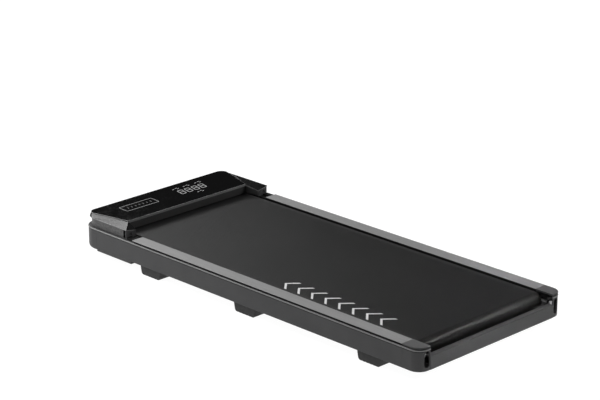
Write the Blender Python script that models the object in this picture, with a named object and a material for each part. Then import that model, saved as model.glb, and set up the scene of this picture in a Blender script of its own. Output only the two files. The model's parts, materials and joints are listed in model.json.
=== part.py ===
"""Flat under-desk walking treadmill, built as an assembly of separate pieces.

Metres, +Z up. The walker faces +Y, so +Y is the motor and display end, +X is the
walker's right, and the origin is on the floor under the middle of the machine.
"""
import math

import bmesh
import bpy
from mathutils import Matrix, Vector

# ---------------------------------------------------------------- driving dimensions
HALF_LENGTH = 0.600
HALF_WIDTH = 0.257
GAP = 0.0003                    # air between pieces that touch on the real machine

RAIL_TOP = 0.085
RAIL_UNDERSIDE = 0.0825
RAIL_INNER = 0.2195             # from the centre line to the rail's inner edge
RIM_TOP = 0.0785                # top edge of the side skirts and the front shell
SKIRT_BOTTOM = 0.0247
CAP_FRONT = -0.545              # where the foot rails meet the rear corner caps
RAIL_FRONT = 0.396
CAP_CORNER_RADIUS = 0.030
NOSE_CORNER_RADIUS = 0.045
NOSE_REAR = 0.540               # joint between the side skirts and the front shell
PAN_BOTTOM = 0.0175
PAN_REAR = 0.403
PAN_HALF_WIDTH = 0.2555

BELT_HALF_WIDTH = 0.2125
BELT_TOP = 0.081
BELT_THICKNESS = 0.0018
ROLLER_RADIUS = 0.0196
RUNNING_GAP = 0.0004
ROLLER_Z = BELT_TOP - BELT_THICKNESS - RUNNING_GAP - ROLLER_RADIUS
FRONT_ROLLER_Y = 0.492
REAR_ROLLER_Y = -0.548
ROLLER_HALF_LENGTH = 0.214
AXLE_RADIUS = 0.006
SHAFT_RADIUS = 0.0075
AXLE_TRAVEL = 0.004             # how far the rear axle moves forward when slackened

WEB_INNER = 0.2295              # side frame channel, inner face of its web
WEB_OUTER = 0.2325
FLANGE_OUTER = 0.2505
CHANNEL_TOP = 0.0755
STEEL = 0.003

HEAD_TOP = 0.109                # rear edge of the gloss panel, which rises towards the front
PANEL_RISE = 0.003
PANEL_FRONT = 0.592
PANEL_CORNER_RADIUS = 0.020
HEAD_EDGE_Z = 0.104
HEAD_UNDERSIDE = 0.1025
HEAD_HALF_WIDTH = 0.252
HEAD_REAR = 0.4645
HEAD_CORNER_RADIUS = 0.040
PANEL_THICKNESS = 0.0015
COVER_LIP = 0.0015              # thickness of the head cover along its edge
PANEL_REAR_CORNER = (0.2095, HEAD_REAR)
ARM_END_OUTER = (0.252, 0.424)
ARM_END_INNER = (0.218, 0.4245)
ARM_END_INNER_Z = 0.0975
PLUG_REAR = 0.4248
PLUG_FRONT = 0.4288
WALL_BOTTOM = 0.0832
BAND_REAR = 0.441

MOTOR_Y = 0.552
MOTOR_Z = 0.066
MOTOR_RADIUS = 0.030
MOTOR_LEFT = -0.190
MOTOR_RIGHT = -0.080
DRIVE_PULLEY_RADIUS = 0.026
MOTOR_PULLEY_RADIUS = 0.011
PULLEY_LEFT = -0.226
PULLEY_RIGHT = -0.2162
DRIVE_BELT_THICKNESS = 0.0025

WHEEL_Y = 0.573
WHEEL_Z = 0.0335
WHEEL_RADIUS = 0.0195
WHEEL_INNER = 0.197
WHEEL_OUTER = 0.215
WHEEL_PIN_RADIUS = 0.0035

BOLT_X = 0.226
BOLT_RADIUS = 0.003
CONTROLS_Z = 0.055
INLET_X = 0.120
SWITCH_X = 0.155
BREAKER_X = 0.181

FOOT_CENTRES = {"front": 0.332, "middle": -0.018, "rear": -0.4375}
TUBE_BOTTOM = 0.043
TUBE_SIDE = 0.020

SIDES = (("left", -1), ("right", 1))


# ---------------------------------------------------------------- helpers
def clear_scene():
    for old in list(bpy.data.objects):
        bpy.data.objects.remove(old, do_unlink=True)


def new_material(name, color, roughness, metallic=0.0):
    material = bpy.data.materials.new(name)
    material.use_nodes = True
    shader = material.node_tree.nodes["Principled BSDF"]
    shader.inputs["Base Color"].default_value = (*color, 1.0)
    shader.inputs["Roughness"].default_value = roughness
    shader.inputs["Metallic"].default_value = metallic
    material.diffuse_color = (*color, 1.0)
    return material


def place(plane_point, along, axis):
    """Turn a point of an outline, and a distance along the axis, into X, Y, Z."""
    first, second = plane_point
    if axis == "X":
        return (along, first, second)
    if axis == "Y":
        return (first, along, second)
    return (first, second, along)


def prism(outline, axis, low, high):
    """A straight extrusion of a closed outline along one axis."""
    mesh = bmesh.new()
    ends = [[mesh.verts.new(place(point, along, axis)) for point in outline] for along in (low, high)]
    mesh.faces.new(ends[0])
    mesh.faces.new(ends[1])
    for index in range(len(outline)):
        following = (index + 1) % len(outline)
        mesh.faces.new((ends[0][index], ends[0][following], ends[1][following], ends[1][index]))
    return mesh


def block(low, high):
    """A box between two corners."""
    outline = [(low[0], low[1]), (high[0], low[1]), (high[0], high[1]), (low[0], high[1])]
    return prism(outline, "Z", low[2], high[2])


def hollow_prism(outer, inner, axis, low, high):
    """An extrusion with a through opening; both outlines have the same number of points."""
    mesh = bmesh.new()
    rings = [[mesh.verts.new(place(point, along, axis)) for point in outline]
             for outline, along in ((outer, low), (outer, high), (inner, high), (inner, low))]
    for ring, next_ring in zip(rings, rings[1:] + rings[:1]):
        for index in range(len(ring)):
            following = (index + 1) % len(ring)
            mesh.faces.new((ring[index], ring[following], next_ring[following], next_ring[index]))
    return mesh


def turned(stations, centre, axis, segments=24, bore=None):
    """A turned piece: (distance along the axis, radius) stations, with an optional bore."""
    profile = list(stations)
    if bore is not None:
        profile += [(stations[-1][0], bore), (stations[0][0], bore)]
    mesh = bmesh.new()
    rings = []
    for along, radius in profile:
        ring = []
        for step in range(segments):
            angle = math.tau * step / segments
            point = (centre[0] + radius * math.cos(angle), centre[1] + radius * math.sin(angle))
            ring.append(mesh.verts.new(place(point, along, axis)))
        rings.append(ring)
    pairs = list(zip(rings, rings[1:]))
    if bore is not None:
        pairs.append((rings[-1], rings[0]))
    else:
        mesh.faces.new(rings[0])
        mesh.faces.new(rings[-1])
    for ring, next_ring in pairs:
        for step in range(segments):
            following = (step + 1) % segments
            mesh.faces.new((ring[step], ring[following], next_ring[following], next_ring[step]))
    return mesh


def swept(path, profile):
    """A profile of (inward offset, height) carried along a plan path of (point, inward normal)."""
    mesh = bmesh.new()
    rings = [[mesh.verts.new((point[0] + offset * normal[0], point[1] + offset * normal[1], height))
              for offset, height in profile] for point, normal in path]
    mesh.faces.new(rings[0])
    mesh.faces.new(rings[-1])
    for ring, next_ring in zip(rings, rings[1:]):
        for index in range(len(profile)):
            following = (index + 1) % len(profile)
            mesh.faces.new((ring[index], ring[following], next_ring[following], next_ring[index]))
    return mesh


def arc(centre, radius, start_degrees, end_degrees, steps):
    """Points along an arc, both ends included."""
    points = []
    for step in range(steps + 1):
        angle = math.radians(start_degrees + (end_degrees - start_degrees) * step / steps)
        points.append((centre[0] + radius * math.cos(angle), centre[1] + radius * math.sin(angle)))
    return points


def nose_path(half_width, front, rear, radius, steps=8):
    """Plan path round the front end, right side first, with inward normals."""
    path = [((half_width, rear), (-1.0, 0.0))]
    for side, start, end in ((1, 0, 90), (-1, 90, 180)):
        centre = (side * (half_width - radius), front - radius)
        for point in arc(centre, radius, start, end, steps):
            normal = ((centre[0] - point[0]) / radius, (centre[1] - point[1]) / radius)
            path.append((point, normal))
    path.append(((-half_width, rear), (1.0, 0.0)))
    return path


def belt_outline(rear_centre, rear_radius, front_centre, front_radius, steps=12):
    """Outline of an open belt round two wheels, in the Y-Z plane."""
    along = (front_centre[0] - rear_centre[0], front_centre[1] - rear_centre[1])
    heading = math.degrees(math.atan2(along[1], along[0]))
    lean = math.degrees(math.acos((rear_radius - front_radius) / math.hypot(*along)))
    front_arc = arc(front_centre, front_radius, heading - lean, heading + lean, steps)
    rear_arc = arc(rear_centre, rear_radius, heading + lean, heading + 360 - lean, steps)
    return front_arc + rear_arc


def mirrored(outline, side):
    """An outline drawn for the right side, put on the side wanted."""
    return [(side * first, second) for first, second in outline]


def add_object(name, mesh, material, origin=(0, 0, 0), smooth_degrees=None):
    """Make the node, with its own origin, outward faces and material."""
    bmesh.ops.recalc_face_normals(mesh, faces=mesh.faces)
    bmesh.ops.translate(mesh, verts=mesh.verts, vec=-Vector(origin))
    data = bpy.data.meshes.new(name)
    mesh.to_mesh(data)
    mesh.free()
    node = bpy.data.objects.new(name, data)
    bpy.context.scene.collection.objects.link(node)
    node.location = origin
    if material is not None:
        data.materials.append(material)
    if smooth_degrees is not None:
        data.shade_smooth()
        data.set_sharp_from_angle(angle=math.radians(smooth_degrees))
    return node


def combine(node, mesh, operation="DIFFERENCE"):
    """Cut a hidden guide shape out of a node, or join it on."""
    guide = add_object(node.name + "_guide", mesh, None)
    guide.hide_render = True
    guide.display_type = "WIRE"
    modifier = node.modifiers.new("shape", "BOOLEAN")
    modifier.operation = operation
    modifier.solver = "EXACT"
    modifier.object = guide


# ---------------------------------------------------------------- materials
def make_materials():
    return {
        "shell": new_material("dark grey satin plastic", (0.045, 0.045, 0.047), 0.42),
        "rail": new_material("silver grey rail", (0.22, 0.22, 0.22), 0.45),
        "band": new_material("textured black plastic", (0.03, 0.03, 0.03), 0.6),
        "head": new_material("head cover plastic", (0.04, 0.04, 0.042), 0.35),
        "panel": new_material("gloss black panel", (0.004, 0.004, 0.005), 0.08),
        "belt": new_material("walking belt", (0.02, 0.02, 0.02), 0.7),
        "deck": new_material("coated deck board", (0.12, 0.08, 0.05), 0.5),
        "rubber": new_material("black rubber", (0.012, 0.012, 0.012), 0.8),
        "frame": new_material("painted steel", (0.02, 0.02, 0.02), 0.4, 0.3),
        "steel": new_material("bright steel", (0.55, 0.55, 0.56), 0.3, 1.0),
        "alloy": new_material("cast aluminium", (0.45, 0.45, 0.46), 0.4, 1.0),
        "board": new_material("green circuit board", (0.02, 0.12, 0.05), 0.4),
        "black": new_material("black moulded plastic", (0.015, 0.015, 0.015), 0.5),
        "red": new_material("red switch", (0.35, 0.02, 0.015), 0.35),
    }


# ---------------------------------------------------------------- steel frame
def make_side_frames(material):
    """Two pressed channels, open outwards, that carry everything."""
    channel = [(WEB_INNER, SKIRT_BOTTOM), (FLANGE_OUTER, SKIRT_BOTTOM), (FLANGE_OUTER, SKIRT_BOTTOM + STEEL),
               (WEB_OUTER, SKIRT_BOTTOM + STEEL), (WEB_OUTER, CHANNEL_TOP - STEEL),
               (FLANGE_OUTER, CHANNEL_TOP - STEEL), (FLANGE_OUTER, CHANNEL_TOP), (WEB_INNER, CHANNEL_TOP)]
    for label, side in SIDES:
        node = add_object(f"side_frame_{label}", prism(mirrored(channel, side), "Y", -0.5797, 0.583), material)
        across = sorted((side * 0.225, side * 0.237))
        combine(node, turned([(across[0], 0.0132), (across[1], 0.0132)], (FRONT_ROLLER_Y, ROLLER_Z), "X"))
        slot_low = (across[0], REAR_ROLLER_Y - AXLE_RADIUS - 0.001, ROLLER_Z - AXLE_RADIUS - 0.0008)
        slot_high = (across[1], REAR_ROLLER_Y + AXLE_RADIUS + AXLE_TRAVEL + 0.001,
                     ROLLER_Z + AXLE_RADIUS + 0.0008)
        combine(node, block(slot_low, slot_high))
        pin_hole = WHEEL_PIN_RADIUS + 0.0004
        combine(node, turned([(across[0], pin_hole), (across[1], pin_hole)], (WHEEL_Y, WHEEL_Z), "X", 16))
        trim_x = sorted((side * (WEB_OUTER + 0.0003), side * 0.260))
        combine(node, block((trim_x[0], NOSE_REAR - 0.001, 0.020), (trim_x[1], 0.600, 0.080)))


def make_cross_members(material):
    for label, y in FOOT_CENTRES.items():
        half = TUBE_SIDE / 2
        low, high = TUBE_BOTTOM, TUBE_BOTTOM + TUBE_SIDE
        outer = [(y - half, low), (y + half, low), (y + half, high), (y - half, high)]
        wall = 0.002
        inner = [(y - half + wall, low + wall), (y + half - wall, low + wall),
                 (y + half - wall, high - wall), (y - half + wall, high - wall)]
        reach = WEB_INNER - GAP
        add_object(f"cross_tube_{label}", hollow_prism(outer, inner, "X", -reach, reach), material)

    front = [(0.192, 0.028), (0.192, 0.056), (0.232, 0.056), (0.232, 0.0752)]
    outline = front + [(-x, z) for x, z in reversed(front)]
    plate = add_object("front_cross_plate", prism(outline, "Y", 0.5835, 0.5865), material)
    combine(plate, block((0.102, 0.580, 0.038), (0.1895, 0.595, 0.071)))

    rear = [(0.240, 0.029), (0.240, 0.072), (0.219, 0.072), (0.219, 0.0545)]
    outline = rear + [(-x, z) for x, z in reversed(rear)]
    plate = add_object("rear_cross_plate", prism(outline, "Y", -0.583, -0.580), material)
    for _, side in SIDES:
        hole = [(-0.590, BOLT_RADIUS + 0.0004), (-0.570, BOLT_RADIUS + 0.0004)]
        combine(plate, turned(hole, (side * BOLT_X, ROLLER_Z), "Y", 16))


def make_motor_tray(material):
    half = [(0.2292, 0.519), (0.2292, 0.534), (0.192, 0.534), (0.192, 0.583)]
    outline = half + [(-x, y) for x, y in reversed(half)]
    add_object("motor_tray", prism(outline, "Z", 0.0298, 0.0323), material)


# ---------------------------------------------------------------- deck and belt
def make_deck(deck_material, rubber_material):
    deck_top = BELT_TOP - BELT_THICKNESS - RUNNING_GAP
    tube_top = TUBE_BOTTOM + TUBE_SIDE
    deck_bottom = deck_top - 0.012
    add_object("deck_board", block((-0.210, -0.518, deck_bottom), (0.210, 0.466, deck_top)), deck_material)
    for label, side in SIDES:
        x = sorted((side * 0.170, side * 0.200))
        low = (x[0], -0.460, tube_top + GAP)
        high = (x[1], 0.400, deck_bottom - GAP)
        add_object(f"deck_cushion_{label}", block(low, high), rubber_material)


def make_walking_belt(material):
    rear, front = (REAR_ROLLER_Y, ROLLER_Z), (FRONT_ROLLER_Y, ROLLER_Z)
    inner_radius = ROLLER_RADIUS + RUNNING_GAP
    outer_radius = inner_radius + BELT_THICKNESS
    outer = belt_outline(rear, outer_radius, front, outer_radius)
    inner = belt_outline(rear, inner_radius + 0.0002, front, inner_radius + 0.0002)
    add_object("walking_belt", hollow_prism(outer, inner, "X", -BELT_HALF_WIDTH, BELT_HALF_WIDTH),
               material, smooth_degrees=30)


# ---------------------------------------------------------------- rollers
def grooved(left, right, radius, ribs=4, depth=0.0015):
    """Stations of a pulley with V grooves and a flange at each side."""
    flange = 0.0008
    pitch = (right - left - 2 * flange) / ribs
    stations = [(left, radius)]
    for rib in range(ribs):
        start = left + flange + rib * pitch
        stations += [(start, radius), (start + pitch / 2, radius - depth)]
    stations += [(right - flange, radius), (right, radius)]
    return stations


def make_front_roller(roller_material, steel_material, alloy_material, bearing_material):
    centre = (FRONT_ROLLER_Y, ROLLER_Z)
    origin = (0, *centre)
    tube = [(-ROLLER_HALF_LENGTH, ROLLER_RADIUS), (ROLLER_HALF_LENGTH, ROLLER_RADIUS)]
    add_object("drive_roller", turned(tube, centre, "X", 36, bore=0.017), roller_material, origin, 30)
    half = [(0.190, SHAFT_RADIUS), (0.190, 0.0167), (0.212, 0.0167), (0.212, SHAFT_RADIUS),
            (0.242, SHAFT_RADIUS), (0.243, SHAFT_RADIUS - 0.001)]
    shaft = [(-x, radius) for x, radius in reversed(half)] + half
    add_object("drive_shaft", turned(shaft, centre, "X"), steel_material, origin, 30)
    pulley = grooved(PULLEY_LEFT, PULLEY_RIGHT, DRIVE_PULLEY_RADIUS)
    add_object("roller_pulley", turned(pulley, centre, "X", 32, bore=SHAFT_RADIUS + 0.0004),
               alloy_material, origin, 30)
    for label, side in SIDES:
        ring = sorted([(side * 0.228, 0.0128), (side * 0.240, 0.0128)])
        add_object(f"front_bearing_{label}", turned(ring, centre, "X", 24, bore=SHAFT_RADIUS + 0.0004),
                   bearing_material, smooth_degrees=30)


def make_rear_roller(roller_material, steel_material, bearing_material):
    centre = (REAR_ROLLER_Y, ROLLER_Z)
    origin = (0, *centre)
    tube = [(-ROLLER_HALF_LENGTH, ROLLER_RADIUS), (ROLLER_HALF_LENGTH, ROLLER_RADIUS)]
    add_object("rear_roller", turned(tube, centre, "X", 36, bore=0.017), roller_material, origin, 30)
    for label, side in SIDES:
        ring = sorted([(side * 0.200, 0.0167), (side * 0.213, 0.0167)])
        add_object(f"rear_bearing_{label}", turned(ring, centre, "X", 24, bore=AXLE_RADIUS + 0.0004),
                   bearing_material, origin, 30)
    axle = [(-0.243, AXLE_RADIUS - 0.001), (-0.242, AXLE_RADIUS), (0.242, AXLE_RADIUS),
            (0.243, AXLE_RADIUS - 0.001)]
    node = add_object("rear_axle", turned(axle, centre, "X"), steel_material, origin, 30)
    for label, side in SIDES:
        bolt_centre = (side * BOLT_X, ROLLER_Z)
        hole = [(REAR_ROLLER_Y - 0.010, BOLT_RADIUS + 0.0004), (REAR_ROLLER_Y + 0.010, BOLT_RADIUS + 0.0004)]
        combine(node, turned(hole, bolt_centre, "Y", 16))
        bolt = [(-0.5895, 0.0042), (-0.5889, 0.005), (-0.5836, 0.005), (-0.5836, BOLT_RADIUS),
                (-0.5400, BOLT_RADIUS), (-0.5390, BOLT_RADIUS - 0.0008)]
        bolt_node = add_object(f"tension_bolt_{label}", turned(bolt, bolt_centre, "Y", 16), steel_material,
                               (bolt_centre[0], -0.583, bolt_centre[1]), 30)
        socket = [(-0.591, 0.0022), (-0.5865, 0.0022)]
        combine(bolt_node, turned(socket, bolt_centre, "Y", 6))


# ---------------------------------------------------------------- outer trim
def make_foot_rails(material):
    profile = [(RAIL_INNER, 0.066), (0.222, 0.066), (0.222, RAIL_UNDERSIDE), (0.235, RAIL_UNDERSIDE),
               (0.235, RIM_TOP + GAP), (0.252, RIM_TOP + GAP), (0.252, RAIL_UNDERSIDE),
               (HALF_WIDTH - 0.0003, RAIL_UNDERSIDE), (HALF_WIDTH - 0.0003, RAIL_TOP - 0.001),
               (HALF_WIDTH - 0.0013, RAIL_TOP), (RAIL_INNER + 0.001, RAIL_TOP), (RAIL_INNER, RAIL_TOP - 0.001)]
    for label, side in SIDES:
        rail = prism(mirrored(profile, side), "Y", CAP_FRONT + GAP, RAIL_FRONT)
        add_object(f"foot_rail_{label}", rail, material)


def make_side_skirts(material):
    profile = [(HALF_WIDTH - 0.0006, SKIRT_BOTTOM), (HALF_WIDTH - 0.0006, RIM_TOP - 0.003),
               (HALF_WIDTH, RIM_TOP - 0.0025), (HALF_WIDTH, RIM_TOP), (0.230, RIM_TOP), (0.230, 0.076),
               (0.2527, 0.076), (0.2527, SKIRT_BOTTOM)]
    for label, side in SIDES:
        skirt = prism(mirrored(profile, side), "Y", CAP_FRONT + GAP, NOSE_REAR - GAP)
        add_object(f"side_skirt_{label}", skirt, material)


def rear_corner(half_width, rear, inner, front, radius):
    """Plan outline of the right rear corner, rounded outside."""
    centre = (half_width - radius, rear + radius)
    return [(inner, front), (inner, rear)] + arc(centre, radius, -90, 0, 6) + [(half_width, front)]


def make_rear_caps(material):
    wall = 0.004
    for label, side in SIDES:
        outline = rear_corner(HALF_WIDTH, -HALF_LENGTH, RAIL_INNER, CAP_FRONT, CAP_CORNER_RADIUS)
        cap = add_object(f"rear_cap_{label}", prism(mirrored(outline, side), "Z", SKIRT_BOTTOM, RAIL_TOP),
                         material, smooth_degrees=30)
        hollow = rear_corner(HALF_WIDTH - wall, -HALF_LENGTH + wall, 0.210, -0.540, CAP_CORNER_RADIUS - wall)
        combine(cap, prism(mirrored(hollow, side), "Z", 0.020, RAIL_TOP - wall))
        floor_front, inset = -0.584, 0.002
        floor_radius = CAP_CORNER_RADIUS - inset
        centre = (HALF_WIDTH - CAP_CORNER_RADIUS, -HALF_LENGTH + CAP_CORNER_RADIUS)
        turn = math.degrees(math.asin((floor_front - centre[1]) / floor_radius))
        floor = [(RAIL_INNER, floor_front), (RAIL_INNER, -HALF_LENGTH + inset)]
        floor += arc(centre, floor_radius, -90, turn, 4)
        combine(cap, prism(mirrored(floor, side), "Z", SKIRT_BOTTOM, SKIRT_BOTTOM + 0.003), "UNION")
        x = sorted((side * RAIL_INNER, side * (RAIL_INNER + inset)))
        combine(cap, block((x[0], -HALF_LENGTH + inset, SKIRT_BOTTOM), (x[1], floor_front, 0.040)), "UNION")
        slot = arc((0.230, 0.065), 0.008, 0, 180, 6) + arc((0.230, 0.041), 0.008, 180, 360, 6)
        combine(cap, prism(mirrored(slot, side), "Y", -0.610, -0.590))


def make_rear_crossbar(material):
    """A bar across the back, with a flange that runs forward under the rear roller."""
    rear, front, top, wall = -HALF_LENGTH, -0.585, 0.059, 0.004
    flange_front, flange_top = -0.545, SKIRT_BOTTOM + 0.003
    profile = [(rear, SKIRT_BOTTOM), (rear, top - 0.001), (rear + 0.001, top), (front, top), (front, top - wall),
               (rear + wall, top - wall), (rear + wall, flange_top), (flange_front, flange_top),
               (flange_front, SKIRT_BOTTOM)]
    reach = RAIL_INNER - GAP
    add_object("rear_crossbar", prism(profile, "X", -reach, reach), material)


# ---------------------------------------------------------------- front end
def make_front_shell(material):
    """The nose: upright walls that curl under into the floor of the motor bay."""
    path = nose_path(HALF_WIDTH, HALF_LENGTH, NOSE_REAR, NOSE_CORNER_RADIUS)
    floor_top = PAN_BOTTOM + 0.0025
    profile = [(0, RIM_TOP), (0, 0.029), (0.0008, 0.0246), (0.0031, 0.0209), (0.0066, 0.0184),
               (0.0108, PAN_BOTTOM), (0.022, PAN_BOTTOM), (0.022, floor_top), (0.0113, floor_top),
               (0.0085, 0.0209), (0.0060, 0.0228), (0.0046, 0.0256), (0.004, 0.0295), (0.004, 0.076),
               (0.013, 0.076), (0.013, RIM_TOP)]
    shell = add_object("front_shell", swept(path, profile), material, smooth_degrees=35)
    floor = arc((0.212, 0.555), 0.0245, 0, 90, 6)
    outline = [(0.2365, NOSE_REAR + 0.0001)] + floor
    outline += [(-x, y) for x, y in reversed(outline)]
    combine(shell, prism(outline, "Z", PAN_BOTTOM + 0.0002, floor_top - 0.0002), "UNION")
    for _, side in SIDES:
        x = sorted((side * 0.1945, side * 0.2175))
        combine(shell, block((x[0], 0.550, 0.010), (x[1], 0.5945, 0.0285)))
    for centre, half_x, half_z in ((INLET_X, 0.0148, 0.0113), (SWITCH_X, 0.0103, 0.0133)):
        combine(shell, block((centre - half_x, 0.590, CONTROLS_Z - half_z),
                             (centre + half_x, 0.610, CONTROLS_Z + half_z)))
    combine(shell, turned([(0.590, 0.0073), (0.610, 0.0073)], (BREAKER_X, CONTROLS_Z), "Y"))


def make_belly_pan(material):
    low = (-PAN_HALF_WIDTH, PAN_REAR, PAN_BOTTOM)
    high = (PAN_HALF_WIDTH, NOSE_REAR - GAP, SKIRT_BOTTOM - GAP)
    pan = add_object("belly_pan", block(low, high), material)
    wall = 0.003
    combine(pan, block((low[0] + wall, low[1] + wall, PAN_BOTTOM + 0.0025), (high[0] - wall, 0.560, 0.030)))


def panel_half_outline():
    """Right half of the gloss panel, from its rear corner to the front edge."""
    return [PANEL_REAR_CORNER] + arc((0.2195, PANEL_FRONT - PANEL_CORNER_RADIUS), PANEL_CORNER_RADIUS, 0, 90, 6)


def panel_height(y):
    """Height of the top of the gloss panel."""
    return HEAD_TOP + PANEL_RISE * (y - HEAD_REAR) / (PANEL_FRONT - HEAD_REAR)


def both_halves(half):
    return half + [(-x, y) for x, y in reversed(half)]


def cover_half_outline():
    """Right half of the head cover's outer edge, point for point with the panel's."""
    centre = (HEAD_HALF_WIDTH - HEAD_CORNER_RADIUS, 0.555)
    return [ARM_END_OUTER] + arc(centre, HEAD_CORNER_RADIUS, 0, 90, 6)


def arm_inner_edge(y):
    """Distance of an arm's inner edge from the centre line, at a place along the arm."""
    corner, end = PANEL_REAR_CORNER, ARM_END_INNER
    return corner[0] + (end[0] - corner[0]) * (y - corner[1]) / (end[1] - corner[1])


def arm_ceiling(x, y):
    """Height of the right arm's underside, flat outside its fold and sloping down inside it."""
    corner, outer, inner = Vector(PANEL_REAR_CORNER), Vector(ARM_END_OUTER), Vector(ARM_END_INNER)
    across = Vector(((outer - corner).y, -(outer - corner).x))
    share = (Vector((x, y)) - corner).dot(across) / (inner - corner).dot(across)
    return HEAD_UNDERSIDE - max(share, 0.0) * (HEAD_UNDERSIDE - ARM_END_INNER_Z + COVER_LIP)


def under_arm(outline, side, low, clearance):
    """An upright piece under one arm, whose top follows the arm's underside at a clearance."""
    mesh = bmesh.new()
    bottom = [mesh.verts.new((side * x, y, low)) for x, y in outline]
    top = [mesh.verts.new((side * x, y, arm_ceiling(x, y) - clearance)) for x, y in outline]
    mesh.faces.new(bottom)
    lid = mesh.faces.new(top)
    for index in range(len(outline)):
        following = (index + 1) % len(outline)
        mesh.faces.new((bottom[index], bottom[following], top[following], top[index]))
    bmesh.ops.triangulate(mesh, faces=[lid])
    return mesh


def make_head_cover(material):
    """A faceted lid with two arms that reach back over the foot rails."""
    mesh = bmesh.new()
    seat = PANEL_THICKNESS + GAP
    panel = [mesh.verts.new((x, y, panel_height(y) - seat)) for x, y in both_halves(panel_half_outline())]
    edge = [mesh.verts.new((x, y, HEAD_EDGE_Z)) for x, y in both_halves(cover_half_outline())]
    inner_ends = [mesh.verts.new((side * ARM_END_INNER[0], ARM_END_INNER[1], ARM_END_INNER_Z)) for side in (-1, 1)]
    mesh.faces.new(panel)
    for index in range(len(panel) - 1):
        mesh.faces.new((panel[index], edge[index], edge[index + 1], panel[index + 1]))
    mesh.faces.new((panel[-1], edge[-1], inner_ends[0]))
    mesh.faces.new((panel[0], inner_ends[1], edge[0]))
    boundary = edge + [inner_ends[0], panel[-1], panel[0], inner_ends[1]]
    lower = [mesh.verts.new((vert.co.x, vert.co.y, min(vert.co.z - COVER_LIP, HEAD_UNDERSIDE)))
             for vert in boundary]
    left_end, left_corner, right_corner, right_end = lower[len(edge):]
    mesh.faces.new(lower[:len(edge)] + [left_corner, right_corner])
    mesh.faces.new((lower[len(edge) - 1], left_end, left_corner))
    mesh.faces.new((right_corner, right_end, lower[0]))
    for index in range(len(boundary)):
        following = (index + 1) % len(boundary)
        mesh.faces.new((boundary[index], boundary[following], lower[following], lower[index]))
    bmesh.ops.triangulate(mesh, faces=[face for face in mesh.faces if len(face.verts) == 4])
    cover = add_object("head_cover", mesh, material, smooth_degrees=25)

    joint, back = 0.0006, HEAD_REAR + GAP
    corner_x = arm_inner_edge(back) + GAP
    combine(cover, block((-corner_x - STEEL, back, WALL_BOTTOM),
                         (corner_x + STEEL, back + STEEL, HEAD_UNDERSIDE + joint)), "UNION")
    end_y = PLUG_FRONT + GAP
    end_x = arm_inner_edge(end_y) + GAP
    wall = [(corner_x, back), (end_x, end_y), (end_x + STEEL, end_y), (corner_x + STEEL, back + STEEL)]
    for _, side in SIDES:
        combine(cover, under_arm(wall, side, WALL_BOTTOM, -joint), "UNION")


def make_head_band(material):
    """The recessed, textured wall under the lid's edge."""
    path = nose_path(0.247, 0.590, BAND_REAR, 0.035)
    low, high = RIM_TOP + GAP, HEAD_UNDERSIDE - GAP
    profile = [(0, low), (0, high), (0.003, high), (0.003, low + 0.002), (0.009, low + 0.002), (0.009, low)]
    add_object("head_band", swept(path, profile), material, smooth_degrees=35)


def make_arm_plugs(material):
    """The end plates of the arms: a body inside the arm, a small recess, and a step to the foot rail."""
    plate = [(arm_inner_edge(PLUG_REAR) + GAP, PLUG_REAR), (0.251, PLUG_REAR), (0.251, PLUG_FRONT),
             (arm_inner_edge(PLUG_FRONT) + GAP, PLUG_FRONT)]
    plate_bottom, ledge_front = 0.0808, 0.4225
    body = ((0.2212, 0.2440), (0.4260, 0.4400), (0.0815, 0.0955))
    lip = ((0.2192, 0.2508), (0.4230, 0.4260), (plate_bottom + 0.0001, plate_bottom + 0.0020))
    step = ((0.2198, 0.2506), (RAIL_FRONT + GAP, 0.4270), (RIM_TOP + 0.0005, plate_bottom + 0.0006))
    ledge = ((0.2345, 0.2506), (RAIL_FRONT + GAP, ledge_front), (RIM_TOP + 0.0005, RAIL_TOP - 0.0004))
    recess = ((0.2325, 0.2428), (0.4200, 0.4330), (0.0865, 0.0945))
    for label, side in SIDES:
        plug = add_object(f"arm_plug_{label}", under_arm(plate, side, plate_bottom, GAP), material)
        for spans, operation in ((body, "UNION"), (lip, "UNION"), (step, "UNION"), (ledge, "UNION"),
                                 (recess, "DIFFERENCE")):
            x, y, z = spans
            x = sorted((side * x[0], side * x[1]))
            combine(plug, block((x[0], y[0], z[0]), (x[1], y[1], z[1])), operation)


def make_display(panel_material, board_material):
    mesh = prism(both_halves(panel_half_outline()), "Z", -PANEL_THICKNESS, 0.0)
    for vert in mesh.verts:
        vert.co.z += panel_height(vert.co.y)
    add_object("display_panel", mesh, panel_material)
    add_object("display_board", block((0.020, 0.500, 0.0990), (0.150, 0.575, 0.1006)), board_material)


# ---------------------------------------------------------------- drive
def make_motor(body_material, bracket_material, steel_material):
    centre = (MOTOR_Y, MOTOR_Z)
    can = [(MOTOR_LEFT, 0.024), (MOTOR_LEFT + 0.004, MOTOR_RADIUS), (MOTOR_RIGHT - 0.004, MOTOR_RADIUS),
           (MOTOR_RIGHT, 0.024)]
    add_object("motor_body", turned(can, centre, "X", 32, bore=0.0054), body_material, smooth_degrees=30)
    rotor = grooved(PULLEY_LEFT, PULLEY_RIGHT, MOTOR_PULLEY_RADIUS) + [(PULLEY_RIGHT, 0.005), (-0.084, 0.005)]
    add_object("motor_rotor", turned(rotor, centre, "X", 24), steel_material, (0, *centre), 30)
    saddle = arc(centre, MOTOR_RADIUS + 0.0004, -35, -145, 10)
    half_foot = 0.0272
    outline = [(MOTOR_Y - half_foot, 0.0326), (MOTOR_Y + half_foot, 0.0326)] + saddle
    add_object("motor_bracket", prism(outline, "X", -0.170, -0.100), bracket_material)


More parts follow.
